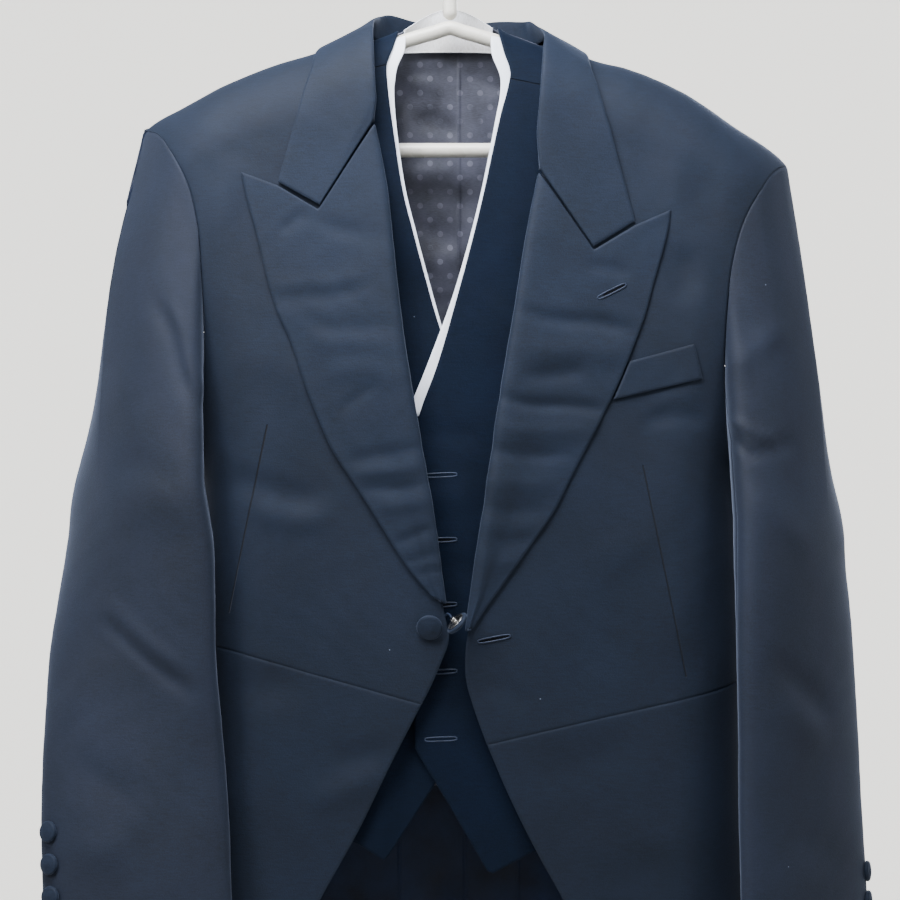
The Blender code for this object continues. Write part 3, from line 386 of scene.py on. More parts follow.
def mix(tree, share, first, second):
    """A colour on the way from the first to the second."""
    return add(tree, "Mix", {0: share, 6: first, 7: second}, data_type="RGBA").outputs[2]


def noise(tree, place, size, detail=2.0, **inputs):
    """Noise with cells of about this many millimetres."""
    links = {"Vector": place, "Scale": 1 / (size * MM), "Detail": detail, **inputs}
    return add(tree, "TexNoise", links).outputs[0]


def stretched(tree, place, scale):
    """The place with its three axes scaled, which draws a pattern out along some of them."""
    return add(tree, "Mapping", {"Vector": place, "Scale": scale}).outputs[0]


def start_material(name, roughness, **constants):
    """A Principled material whose constant values sit on the shader's own sockets."""
    made = bpy.data.materials.new(name)
    made.use_nodes = True
    tree = made.node_tree
    shader = tree.nodes["Principled BSDF"]
    shader.inputs["Roughness"].default_value = roughness
    for key, value in constants.items():
        shader.inputs[key.replace("_", " ")].default_value = value
    return made, tree, shader, add(tree, "TexCoord").outputs["Object"]


def finish(tree, shader, colour, height, strength, depth):
    """Links a colour to the shader, and a bump whose height field is this many metres deep."""
    bump = add(tree, "Bump", {"Height": height, "Strength": strength, "Distance": depth})
    tree.links.new(colour, shader.inputs["Base Color"])
    tree.links.new(bump.outputs[0], shader.inputs["Normal"])


def near_line(tree, place, start, end, width):
    """1 on a straight line between two places (x, z in metres) and 0 beyond its width: the
    distance is the length of the offset from the nearest point of the line."""
    start, end = np.array(start) * MM, np.array(end) * MM
    run = end - start
    size = float(run @ run)
    flat = add(tree, "VectorMath", {0: place, 1: (1, 0, 1)}, operation="MULTIPLY").outputs[0]
    origin, way = (start[0], 0, -start[1]), (run[0], 0, -run[1])
    offset = add(tree, "VectorMath", {0: flat, 1: origin}, operation="SUBTRACT").outputs[0]
    dot = add(tree, "VectorMath", {0: offset, 1: way}, operation="DOT_PRODUCT").outputs["Value"]
    share = maths(tree, "DIVIDE", dot, size, use_clamp=True)
    foot = add(tree, "VectorMath", {0: way, 3: share}, operation="SCALE").outputs[0]
    gap = add(tree, "VectorMath", {0: offset, 1: foot}, operation="DISTANCE").outputs["Value"]
    return remap(tree, gap, 0.0, width * MM, 1.0, 0.0, "SMOOTHSTEP")


print("white is", linear("#ffffff"))

# %% [markdown]
# The suit is black-navy worsted: long combed wool, spun hard and woven close. The eye sees a soft
# matt cloth with a faint bluish bloom where light grazes it, from short fibres that stand up. The
# threads are 0.3 mm apart, too fine for this picture, so the grain is drawn near 1 mm. Darts are
# sewn folds that show as fine sunk lines, so the coat's cloth has them in its material, and painted
# shade darkens the cloth along them. The sleeves hang at another angle, and their copy of the wool
# is painted lighter with more of the bloom, for the light that falls on them; the waistcoat's copy,
# lying inside, is painted darker with little bloom, for the shade it lies in.

# %% Worsted wool
GRAIN, SLUB, SWATHE, LINT = 1.0, 1.3, 60.0, 34.0
SLUB_SHARE, GRAIN_SHARE, SWATHE_SHARE = 0.35, 0.65, 0.4
GROOVE_SHADE, GROOVE_SINK = 0.9, -4.0
SPECK = (0.009, 0.016)
# the second of these colours is the painted shade laid into the sunk sewing lines; the first tints
# the sheen and the third is lint
BLOOM, GROOVE_SHADE_COLOUR, FLUFF = linear("#a4b0c8"), linear("#05070c"), linear("#6f7888")


def worsted(name, colour, lift, sunk_lines=(), nap=0.28):
    """Navy wool: mottled colour, fine grain, a few pale specks of lint, and sunk sewing lines
    darkened with painted shade.
    """
    made, tree, shader, place = start_material(
        name, 0.72, Sheen_Weight=nap, Sheen_Roughness=0.4, Sheen_Tint=BLOOM,
        Specular_IOR_Level=0.86 * nap)
    weft = stretched(tree, place, (0.16, 0.4, 1.0))
    weave = maths(tree, "MULTIPLY", noise(tree, weft, SLUB), SLUB_SHARE)
    grain = noise(tree, place, GRAIN, Roughness=0.7)
    weave = maths(tree, "MULTIPLY_ADD", grain, GRAIN_SHARE, weave)
    tone = maths(tree, "MULTIPLY_ADD", noise(tree, place, SWATHE, 3.0), SWATHE_SHARE, weave)
    wool = mix(tree, remap(tree, tone, 0.48, 0.92), linear(colour), linear(lift))
    height, groove = weave, 0.0
    # each sewing line darkens the wool towards the painted shade colour, as well as sinking the
    # bump
    for line in sunk_lines:
        groove = maths(tree, "MAXIMUM", near_line(tree, place, *line), groove)
        wool = mix(tree, maths(tree, "MULTIPLY", groove, GROOVE_SHADE), wool, GROOVE_SHADE_COLOUR)
    if sunk_lines:
        height = maths(tree, "MULTIPLY_ADD", groove, GROOVE_SINK, weave)
    cell = add(tree, "TexVoronoi", {"Vector": place, "Scale": 1 / (LINT * MM)},
               feature="F1", distance="EUCLIDEAN")
    speck = remap(tree, cell.outputs["Distance"], *SPECK, 1.0, 0.0, "SMOOTHSTEP")
    finish(tree, shader, mix(tree, speck, wool, FLUFF), height, 0.5, 0.00035)
    return made


DARTS = [((-135, 385), (-164.5, 524), 0.9), ((142.5, 415), (175, 571), 0.9)]
VEST_SEAMS = [((-66, 117), (-46, 112.5), 0.8), ((44, 124), (75, 130), 0.8)]
WOOL = worsted("worsted_wool", "#060e19", "#101b2c", DARTS)
# the sleeves' copy of the wool is painted lighter, with more sheen, for the light that falls on
# them
SLEEVE_WOOL_PAINTED_LIGHTER = worsted("worsted_wool_sleeve_painted_lighter", "#0a111b", "#171f30", nap=0.33)
LAPEL_WOOL = worsted("worsted_wool_lapel", "#07101b", "#131e30")
# the waistcoat's copy of the wool is painted darker, with little sheen, for the shade it lies in
# under the coat
VEST_WOOL_PAINTED_SHADE = worsted("worsted_wool_waistcoat_painted_shade", "#020914", "#071426", VEST_SEAMS, nap=0.11)
print(len(WOOL.node_tree.nodes), "nodes in the coat's wool")

# %% [markdown]
# The waistcoat's back is a grey jacquard lining: viscose satin whose weave changes in small round
# spots. A spot is 5 mm across, every 15.6 mm, in staggered rows, and it shines a little
# differently. The coat's inside is a plain near-black navy satin.

# %% Linings
ROW_SHARE = 0.7


def spots(tree, place, pitch, radius):
    """Staggered round spots on x and z: x and z are cut into cells, each second row is moved by
    half a cell, and the distance to the cell's middle is compared with the spot's radius."""
    axes = add(tree, "SeparateXYZ", {0: place}).outputs
    down = maths(tree, "DIVIDE", axes[2], pitch * ROW_SHARE * MM)
    shift = maths(tree, "MULTIPLY", maths(tree, "FLOOR", down), 0.5)
    across = maths(tree, "ADD", maths(tree, "DIVIDE", axes[0], pitch * MM), shift)
    down = maths(tree, "MULTIPLY", maths(tree, "FRACT", down), ROW_SHARE)
    local = add(tree, "CombineXYZ", {0: maths(tree, "FRACT", across), 1: down}).outputs[0]
    middle = (0.5, ROW_SHARE / 2, 0)
    gap = add(tree, "VectorMath", {0: local, 1: middle}, operation="DISTANCE").outputs["Value"]
    edge = radius / pitch
    return remap(tree, gap, edge * 0.85, edge, 1.0, 0.0, "SMOOTHSTEP")


def satin(name, colour, lift, spot=None, gloss=0.4):
    """Lining satin: soft bands of tone, partly painted sheen of its soft folds, fine cross threads,
    and spots in the weave if asked.
    """
    made, tree, shader, place = start_material(
        name, 0.42, Specular_IOR_Level=gloss, Sheen_Weight=0.1)
    # the cloud is random tone and partly painted sheen, the lighter and darker bands that satin
    # folds catch
    cloud = noise(tree, place, 26, 4.0)
    thread = noise(tree, stretched(tree, place, (1.0, 1.0, 6.0)), 2.4, 1.0)
    tone = remap(tree, maths(tree, "MULTIPLY_ADD", thread, 0.35, cloud), 0.45, 0.9)
    silk, height = mix(tree, tone, linear(colour), linear(lift)), thread
    if spot:
        dots = spots(tree, place, *spot)
        # the spots show more where the cloud of partly painted sheen is lighter
        spot_show = remap(tree, cloud, 0.42, 0.66, 0.03, 0.34)
        silk = mix(tree, maths(tree, "MULTIPLY", dots, spot_show), silk, linear("#8f90a0"))
        height = maths(tree, "MULTIPLY_ADD", dots, 0.8, thread)
    finish(tree, shader, silk, height, 0.35, 0.00025)
    return made


LINING = satin("jacquard_lining", "#272932", "#4b4c59", spot=(15.6, 2.5))
COAT_LINING = satin("navy_satin_lining", "#030b1c", "#091a35", gloss=0.18)
print("linings made")

# %% [markdown]
# The slip is white cotton marcella, a matt cloth with a fine raised rib. The hanger is white
# polystyrene, moulded and glossy with a faint yellow cast. The link's shank is nickel-plated
# brass: bright, with fine scratches.

# %% White cotton, plastic and nickel
def cotton(name, colour):
    """Matt cotton with a fine raised rib and a faint cloud of tone."""
    made, tree, shader, place = start_material(
        name, 0.82, Sheen_Weight=0.2, Specular_IOR_Level=0.25)
    rib = noise(tree, stretched(tree, place, (1.0, 1.0, 0.5)), 1.1)
    tone = maths(tree, "MULTIPLY_ADD", rib, 0.5, noise(tree, place, 30))
    white = mix(tree, remap(tree, tone, 0.4, 1.1), linear(colour), linear("#f4f5f8"))
    finish(tree, shader, white, rib, 0.4, 0.0003)
    return made


def hard(name, low, high, rough, size, **constants):
    """A hard surface: its colour and roughness drift slightly, and its bump is very low."""
    made, tree, shader, place = start_material(name, 0.3, **constants)
    cloud = noise(tree, place, size, 4.0)
    tree.links.new(remap(tree, cloud, 0.3, 0.7, *rough), shader.inputs["Roughness"])
    finish(tree, shader, mix(tree, cloud, linear(low), linear(high)), cloud, 0.15, 0.0002)
    return made


COTTON = cotton("cotton_marcella", "#d9dfea")
# the neck facing's colour is partly its own beige and partly painted shade, on the inner side of
# the slip's back band
NECK_FACING_AND_SHADE = cotton("cotton_neck_facing_and_painted_shade", "#b5b0a8")
PLASTIC = hard("moulded_polystyrene", "#d2cdbf", "#e4e0d4", (0.22, 0.38), 18, IOR=1.55)
NICKEL = hard("nickel_plate", "#7d7b78", "#b3b0aa", (0.12, 0.4), 2, Metallic=1.0)
THREAD = hard("buttonhole_thread", "#0d1522", "#28344b", (0.45, 0.65), 1.5,
              Specular_IOR_Level=0.35)
print("hard finishes made")

# %% [markdown]
# One function turns a grid of points into a piece of cloth. It finds the grid's normals, tucks the
# edges in by half a millimetre so that a seam or a turned edge shows as a soft line, moves the
# points by their creases, and gives the sheet a wall with Solidify.

# %% From points to cloth
COAT_WALL = 1.5
WAISTCOAT_WALL = 1.3
SLIP_WALL = 0.9
TUCK = 0.55
PIECES = {}


def normals_of(points, hub):
    """Cross product of the grid's two gradients, turned away from a point inside."""
    normal = np.cross(np.gradient(points, axis=1), np.gradient(points, axis=0))
    normal /= np.maximum(np.linalg.norm(normal, axis=-1, keepdims=True), 1e-9)
    facing = np.sum((points - np.array(hub)) * normal)
    return normal if facing > 0 else -normal


def lengths(points, axis):
    """Length from the grid's start to each point, along rows or columns."""
    steps = np.linalg.norm(np.diff(points, axis=axis), axis=-1)
    start = np.zeros_like(steps[:1] if axis == 0 else steps[:, :1])
    return np.concatenate([start, np.cumsum(steps, axis=axis)], axis=axis)


def edge_distance(points):
    """Distance of each point to the nearest edge of its piece."""
    down, across = lengths(points, 0), lengths(points, 1)
    return np.minimum(np.minimum(down, down[-1:] - down),
                      np.minimum(across, across[:, -1:] - across))


def grid_mesh(name, points, hub, finishes, close=False):
    """A mesh from a grid of points in millimetres, facing away from a point or a line inside. A
    grid that goes once round is closed, and rows of one point are welded."""
    rows, columns = points.shape[:2]
    number = np.arange(rows * columns).reshape(rows, columns)
    if close:
        number = np.concatenate([number, number[:, :1]], axis=1)
    corners = [number[:-1, :-1], number[:-1, 1:], number[1:, 1:], number[1:, :-1]]
    normal = np.cross(np.gradient(points, axis=1), np.gradient(points, axis=0))
    if np.sum((points - np.array(hub)) * normal) < 0:
        corners = corners[::-1]
    faces = np.stack([corner.ravel() for corner in corners], axis=1)
    mesh = bpy.data.meshes.new(name)
    mesh.from_pydata((points.reshape(-1, 3) * MM).tolist(), [], faces.tolist())
    if close:
        bm = bmesh.new()
        bm.from_mesh(mesh)
        bmesh.ops.remove_doubles(bm, verts=bm.verts, dist=0.000005)
        bm.to_mesh(mesh)
        bm.free()
    for finish in finishes:
        mesh.materials.append(finish)
    mesh.shade_smooth()
    made = bpy.data.objects.new(name, mesh)
    bpy.context.scene.collection.objects.link(made)
    return made


def cloth(node, points, wall, finishes, hub, table=None, back=None, swell=0.0, fade=1.0):
    """A piece of cloth that stands for a CAD node."""
    normal = normals_of(points, hub)
    lift = -TUCK * np.exp(-((edge_distance(points) / 1.0) ** 2))
    x, drop = points[..., 0], -points[..., 2]
    lift = lift + hand(x, drop) * fade
    if table is not None:
        ahead = ease(0.5 - 0.9 * normal[..., 1])
        lift = lift + fade * ahead * (creases(table, x, drop) + billow(x, drop, swell))
        if back is not None:
            rear = 1 - ahead
            lift = lift + fade * rear * (creases(back, x, drop) + billow(-x, drop + 40, swell))
    points = points + lift[..., None] * normal
    made = grid_mesh("cloth_" + node, points, hub, finishes)
    wall_modifier = made.modifiers.new("wall", "SOLIDIFY")
    wall_modifier.thickness = wall * MM
    wall_modifier.offset = -1.0
    wall_modifier.material_offset = len(finishes) - 1
    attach(made, "root")
    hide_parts(node)
    PIECES[node] = made
    return made


print("cloth walls are", COAT_WALL, WAISTCOAT_WALL, SLIP_WALL, "mm")

# %% [markdown]
# A panel of the coat lies between two drawn edges. Each edge is a table of places, one row of cloth
# joins the same share of both, and the ends are eased to the shoulder line or the waist seam. The
# front's inner edge is the roll of collar and lapel, then the cut front edge.

# %% The coat's seams
# gaps are below zero, so that pieces lap at a seam; the side seam lies this far into the front's
# quarter round
SEAM_GAP, RIDGE_GAP, SIDE_SHARE, COAT_MIDDLE = -0.3, -0.2, 0.94, 12
ROLL = {
    RIGHT: [(-62, 87), (-59.5, 100), (-58, 118), (-56.3, 160.5), (-47.5, 206), (-42.4, 250),
            (-36.6, 301), (-29.2, 352), (-20.5, 403), (-11.7, 454), (-4.4, 506), (-2.2, 524),
            (-0.7, 543), (-6.6, 561), (-14.7, 580), (-21, 592.5)],
    LEFT: [(74, 90.5), (72, 104), (69.5, 118), (66.5, 162), (65.8, 197), (57, 242),
           (47.5, 301), (38.7, 352), (32.2, 396), (24.9, 447), (19, 484), (13.9, 520),
           (10.2, 549), (11.8, 572), (18.4, 596), (27.2, 620.3)],
}
ARMHOLE_FRONT = {
    RIGHT: [(-233, 160), (-222, 165), (-209.4, 180.5), (-195.3, 206.4), (-187.8, 236),
            (-184.9, 270), (-183.4, 314), (-184.5, 345), (-188, 376)],
    LEFT: [(258, 186), (247.2, 191), (231.6, 210.2), (219, 232.4), (209.4, 265.8),
           (205.7, 299.3), (204.2, 336.4), (205.4, 372), (209, 402)],
}
ARMHOLE_BACK = {
    RIGHT: [(-233, 160), (-216, 176), (-200, 205), (-190, 240), (-186, 275), (-187, 305)],
    LEFT: [(258, 186), (240, 202), (224, 231), (214, 266), (210, 301), (211, 331)],
}
UNDERARM = {RIGHT: [399, 402, 391, 357, 305], LEFT: [425, 428, 417, 383, 331]}
BACK_SEAM = {
    RIGHT: [(-187, 305), (-172, 345), (-140, 405), (-98, 465), (-62, 515), (-41, 549)],
    LEFT: [(211, 331), (196, 369), (164, 425), (122, 480), (84, 528), (56, 561)],
}
PLEAT = {
    RIGHT: [(-41, 549), (-40, 700), (-40, 900), (-41, 1102)],
    LEFT: [(56, 561), (54, 700), (54, 900), (55, 1114)],
}
WAIST = {
    # girth and drop
    RIGHT: [(30, 592.5), (110, 571), (185, 552), (270, 548), (420, 549)],
    LEFT: [(14, 620.3), (100, 601), (199, 580), (280, 566), (420, 560)],
}
CUTAWAY = {
    RIGHT: [(-21, 593), (-44.1, 638), (-68.4, 688), (-94.1, 734), (-126, 800), (-150, 870),
            (-168, 950), (-180, 1030), (-187, 1096)],
    LEFT: [(27.2, 621), (44.1, 660.5), (66.2, 705), (82.3, 734), (116, 800), (146, 870),
           (172, 950), (192, 1030), (205, 1118)],
}
CENTRE_BACK = [(12, 91.5), (12, 200), (12, 320), (12, 440), (12, 555), (12, 830), (12, 1108)]


def on_girth(form, side, face, points):
    """A table of x and drop turned into girth and drop."""
    points = np.asarray(points, float)
    return np.stack([girth_at(form, side, face, points[:, 0], points[:, 1]), points[:, 1]], axis=-1)


def rows_along(form, side, face, points, at):
    return on_girth(form, side, face, along(points, at))


def panel(form, side, inner, outer, u, v, top=None, bottom=None, lift=None, fade=2):
    """Points between two edges: girth and drop are mixed by u across; the ends are bent to the top
    and bottom lines by (1 - v)^fade and v^fade; then the form's surface gives the place."""
    u, v = u[None, :], v[:, None]
    girth = inner[:, :1] * (1 - u) + outer[:, :1] * u
    drop = inner[:, 1:] * (1 - u) + outer[:, 1:] * u
    if top is not None:
        drop = drop + (top(girth[:1], drop[:1]) - drop[:1]) * (1 - v) ** fade
    if bottom is not None:
        drop = drop + (bottom(girth[-1:], drop[-1:]) - drop[-1:]) * v ** fade
    points = surface(form, side, girth, drop)
    if lift is not None:
        points = points + lift(girth, drop)[..., None] * outward(form, side, girth, drop)
    return points


def shoulder_line(form, side):
    return lambda girth, drop: ridge_drop(form, surface(form, side, girth, drop)[..., 0])


def side_girth(drop):
    flat, quarter_front = girths(COAT, drop)[3:5]
    return flat + quarter_front * SIDE_SHARE


def waist_drop(side):
    table = np.array(WAIST[side], float)
    return lambda girth, drop: through(table[:, 0], table[:, 1], girth)


def waist_end(side):
    """Where the back seam meets the waist seam: x and drop."""
    x = BACK_SEAM[side][-1][0]
    return x, float(waist_drop(side)(girth_at(COAT, side, "back", x, 555), 0)) - SEAM_GAP / 2


print("side seam lies at girth", round(float(side_girth(480.0))), "mm")

# %% [markdown]
# The same row numbers run through front, side, back and sleeve. The front has nine steps of armhole
# and six below it, and the back has five of armhole, eight to the waist and seven of tail. Pieces
# that meet are measured by the same numbers, so their edges match.

# %% Coat panels
ARM_FRONT, LOWER = 9.0, 6.0
ARM_BACK, BODY, TAIL = 5.0, 8.0, 7.0
UNDER = 7.0
# share of the front's inner edge above the underarm, how far the edge is drawn in under the lapel,
# the drop where that ends, and the distance from the armhole within which creases fade in
FRONT_SPLIT, FACING_TUCK, TUCK_END, SEAM_FADE = 0.63, 2.6, 545, 24


def front_panel(side):
    """Coat front from the shoulder to the waist seam."""
    arm = spread(0, ARM_FRONT, 80, 245, both=False)
    low_rows = spread(0, LOWER, 54, 185, first=False)[1:]
    low = UNDERARM[side][0]
    end = surface(COAT, side, side_girth(low), low)
    armhole = np.vstack([ARMHOLE_FRONT[side], [end[0], low]])
    armhole = rows_along(COAT, side, "front", armhole, (arm / ARM_FRONT) ** 1.25)
    drops = low + (float(waist_drop(side)(200, 0)) - low) * low_rows / LOWER
    outer = np.vstack([armhole, np.stack([side_girth(drops), drops], axis=-1)])
    outer[:, 0] -= SEAM_GAP / 2
    edge = np.array(ROLL[side], float)
    edge[:, 0] += side * FACING_TUCK * ease((TUCK_END + 20 * (side > 0) - edge[:, 1]) / 30)
    at = np.concatenate([FRONT_SPLIT * (arm / ARM_FRONT) ** 1.4,
                         FRONT_SPLIT + (1 - FRONT_SPLIT) * low_rows / LOWER])
    inner = rows_along(COAT, side, "front", edge, at)
    rows = np.concatenate([arm, ARM_FRONT + low_rows])
    points = panel(COAT, side, inner, outer, spread(0, 1, 84, 230), rows / (ARM_FRONT + LOWER),
                   shoulder_line(COAT, side),
                   lambda g, d: waist_drop(side)(g, d) - SEAM_GAP / 2, fade=3)
    points[0, :, 1] = np.minimum(points[0, :, 1], -RIDGE_GAP / 2)
    return points, arm


def underarm(side):
    """Bottom of the armhole from the side seam to the back seam, as girth and drop."""
    start = np.array([side_girth(UNDERARM[side][0]), UNDERARM[side][0]])
    end = on_girth(COAT, side, "back", BACK_SEAM[side][:1])[0]
    t = np.linspace(0, 1, 6)
    girth = start[0] * (1 - t) + end[0] * t
    return np.stack([girth, through([0, 0.25, 0.5, 0.75, 1], UNDERARM[side], t)], axis=-1)


def side_body(side):
    """The part under the arm, between the side seam and the curved back seam."""
    arm = underarm(side)
    bottom = waist_drop(side)
    v = spread(0, 1, 60, 180)
    drops = arm[0, 1] + (float(bottom(200, 0)) - arm[0, 1]) * v
    inner = np.stack([side_girth(drops) + SEAM_GAP / 2, drops], axis=-1)
    outer = rows_along(COAT, side, "back", BACK_SEAM[side][:-1] + [waist_end(side)], v)
    outer[:, 0] -= SEAM_GAP / 2
    u = spread(0, 1, 44, 100)
    return panel(COAT, side, inner, outer, u, v, lambda g, d: through(arm[:, 0], arm[:, 1], g),
                 lambda g, d: bottom(g, d) - SEAM_GAP / 2), u


def back_panel(side):
    """Coat back and its tail in one, from the shoulder to the hem."""
    arm = spread(0, ARM_BACK, 56, 165, both=False)
    body = np.linspace(0, BODY, 91)[1:]
    tail = spread(0, TAIL, 92, 550, first=False)[1:]
    waist = waist_end(side)
    outer = np.vstack([
        rows_along(COAT, side, "back", ARMHOLE_BACK[side], (arm / ARM_BACK) ** 1.5),
        rows_along(COAT, side, "back", BACK_SEAM[side][:-1] + [waist], body / BODY),
        rows_along(COAT, side, "back", [waist] + PLEAT[side][1:], tail / TAIL)])
    inner = np.vstack([
        rows_along(COAT, side, "back", CENTRE_BACK[:3], (arm / ARM_BACK) ** 1.5),
        rows_along(COAT, side, "back", CENTRE_BACK[2:5], body / BODY),
        rows_along(COAT, side, "back", CENTRE_BACK[4:], tail / TAIL)])
    outer[:, 0] += SEAM_GAP / 2
    inner[:, 0] -= SEAM_GAP / 2
    rows = np.concatenate([arm, ARM_BACK + body, ARM_BACK + BODY + tail])
    points = panel(COAT, side, inner, outer, spread(0, 1, 42, 150), rows / (ARM_BACK + BODY + TAIL),
                   shoulder_line(COAT, side), fade=5)
    points[0, :, 1] = np.maximum(points[0, :, 1], RIDGE_GAP / 2)
    return points, arm


def skirt_panel(side):
    """The cutaway skirt, from the waist seam to the hem and round to the pleat."""
    v = spread(0, 1, 100, 540)
    inner = rows_along(COAT, side, "front", CUTAWAY[side], v)
    outer = rows_along(COAT, side, "back", [waist_end(side)] + PLEAT[side][1:], v)
    outer[:, 0] -= SEAM_GAP / 2
    bottom = waist_drop(side)
    return panel(COAT, side, inner, outer, spread(0, 1, 92, 400), v,
                 lambda g, d: bottom(g, d) + SEAM_GAP / 2)


def fade_out(points, rows, last, axis=1, edge=-1):
    """0 at the armhole, 1 from SEAM_FADE mm away, so that sleeve and panel still meet there."""
    far = lengths(points, axis)
    away = far[:, -1:] - far if axis else far
    share = ease(away / SEAM_FADE)
    if axis:
        share = 1 - (1 - share) * (1 - ease((rows - last + 0.6) / 1.2))[:, None]
    return share


GRIDS = {}
for side in (RIGHT, LEFT):
    word = WORD[side]
    front, front_arm = front_panel(side)
    body, under_columns = side_body(side)
    back, back_arm = back_panel(side)
    skirt = skirt_panel(side)
    GRIDS[side] = dict(front=front, front_arm=front_arm, body=body, columns=under_columns,
                       back=back, back_arm=back_arm)
    front_rows = np.concatenate([front_arm, np.linspace(9.1, 15, len(front) - len(front_arm))])
    back_rows = np.concatenate([back_arm, np.linspace(5.1, 20, len(back) - len(back_arm))])
    for part, points, hub_drop, fade in (
            ("front", front, 330, fade_out(front, front_rows, ARM_FRONT)),
            ("side", body, 450, fade_out(body, None, 0, axis=0)),
            ("back", back, 500, fade_out(back, back_rows, ARM_BACK)),
            ("skirt", skirt, 800, 1.0)):
        cloth(f"coat_{part}_{word}", points, COAT_WALL, [WOOL, COAT_LINING],
              (COAT_MIDDLE, 0, -hub_drop), COAT_CREASES, BACK_CREASES,
              swell=1.3, fade=fade)

# %% [markdown]
# A sleeve starts on the armhole's own points and ends as an oval tube. Its level section is an oval
# turned a little towards the front, as an arm hangs. Each sleeve is cut in two, with seams down the
# front and the back of the arm, so the tube is split there.

# %% Sleeves
SLEEVE = {
    # drop, centre x, centre y, half breadth, half thickness, turn in degrees
    RIGHT: [(430, -236.5, -14, 78, 28, 42), (484, -235.5, -21, 76, 27, 52),
            (550, -238.5, -32, 74, 25, 62), (616, -235.5, -46, 71, 22, 74),
            (680, -232.5, -58, 71, 20, 82), (768, -227.5, -70, 70, 18, 86)],
    LEFT: [(455, 257.6, -13, 75, 27.5, 34.5), (500, 258.9, -18, 75, 27, 36.3),
           (560, 261.1, -24, 73, 25, 40.8), (640, 263, -31, 71, 23, 45),
           (720, 264.5, -38, 69, 21, 48.5), (791, 265, -43, 68, 20, 51)],
}
CAP_SWELL = {RIGHT: 12.0, LEFT: 5.0}
CAP_ROWS, ARM_ROWS = 6, 8
# mm from one numbered place of the armhole's ring to the next, about
RING_STEP = 24
SLEEVE_SPLIT = (2.0, 14.0)
RING_END = 21.0


def oval(side, drop, angle):
    """Centre plus breadth * cos(angle) ahead and thickness * sin(angle) aside."""
    table = np.array(SLEEVE[side], float)
    x, y, breadth, thick, turn = np.moveaxis(through(table[:, 0], table[:, 1:], drop), -1, 0)
    turn = np.radians(turn)
    ahead = np.stack([-side * np.sin(turn), -np.cos(turn)], axis=-1)
    aside = np.stack([side * np.cos(turn), -np.sin(turn)], axis=-1)
    place = (np.stack([x, y], axis=-1) + (breadth * np.cos(angle))[..., None] * ahead
             + (thick * np.sin(angle))[..., None] * aside)
    return np.concatenate([place, -np.broadcast_to(drop, place.shape[:-1])[..., None]], axis=-1)


def armhole_ring(side):
    """The armhole's points and their numbers: up the front, over the shoulder, down the back and
    along the underarm, back to where it began."""
    grids = GRIDS[side]
    front = grids["front"][: len(grids["front_arm"]), -1]
    back = grids["back"][: len(grids["back_arm"]), -1]
    under, columns = grids["body"][0], grids["columns"]
    top = (front[0] + back[0]) / 2
    ring = np.vstack([front[:0:-1], [top], back[1:], under[-2:0:-1], front[-1:]])
    number = np.concatenate([
        ARM_FRONT - grids["front_arm"][:0:-1], [ARM_FRONT], ARM_FRONT + grids["back_arm"][1:],
        SLEEVE_SPLIT[1] + UNDER * (1 - columns[-2:0:-1]), [RING_END]])
    return ring, number


def sleeve_parts(side):
    """Columns run from the armhole to the cuff: straight from the ring to the first oval with a
    swell of sin(pi * share) at the crown, then down the ovals, all smoothed by a Hermite curve."""
    ring, number = armhole_ring(side)
    near = EDGE_STEPS / RING_STEP
    seams = [split + np.concatenate([-near, [0.0], near]) for split in SLEEVE_SPLIT]
    places = np.unique(np.round(np.concatenate([number, *seams]), 5))
    ring = np.stack([np.interp(places, number, ring[:, axis]) for axis in range(3)], axis=-1)
    angles = np.radians(np.interp(places, [0, 2, 14, RING_END], [-50, -20, 185, 310]))
    start, end = float(SLEEVE[side][0][0]), float(SLEEVE[side][-1][0])
    first = oval(side, np.full(len(ring), start), angles)
    outer = np.clip(np.sin(angles - math.radians(35)), 0, 1)[:, None]
    rows = []
    for share in np.linspace(0, 1, CAP_ROWS + 1) ** 1.2:
        swell = np.sin(math.pi * share) * outer * np.array([side * CAP_SWELL[side], 0, 0])
        rows.append(ring * (1 - share) + first * share + swell)
    for drop in np.linspace(start, end, ARM_ROWS + 1)[1:]:
        rows.append(oval(side, np.full(len(ring), drop), angles))
    rows = np.array(rows)
    knots = np.linalg.norm(np.diff(rows, axis=0), axis=-1).mean(axis=1)
    knots = np.concatenate([[0], np.cumsum(knots)])
    fine = spread(0, knots[-1], 132, knots[-1])
    points = through(knots, rows.reshape(len(rows), -1), fine).reshape(len(fine), -1, 3)
    first = int(np.argmin(abs(places - SLEEVE_SPLIT[0])))
    last = int(np.argmin(abs(places - SLEEVE_SPLIT[1])))
    top = points[:, first: last + 1]
    under = np.concatenate([points[:, last:-1], points[:, : first + 1]], axis=1)
    return top, under


for side in (RIGHT, LEFT):
    top, under = sleeve_parts(side)
    middle = oval(side, 600.0, np.array([0.0, math.pi])).mean(axis=0)
    for kind, points in (("top", top), ("under", under)):
        cloth(f"sleeve_{kind}_{WORD[side]}", points, COAT_WALL, [SLEEVE_WOOL_PAINTED_LIGHTER, COAT_LINING], middle,
              table=SLEEVE_CREASES, back=SLEEVE_BACK_CREASES, swell=1.6,
              fade=fade_out(points, None, 0, axis=0))

# %% [markdown]
# The lapels are the widest peaks, cut in one with the facing and pressed back along the roll. They
# lie on the coat front and stand off it by a few millimetres in the belly. Their top edge runs
# along the gorge seam and out to the peak. The rows go from the peak down to the button.

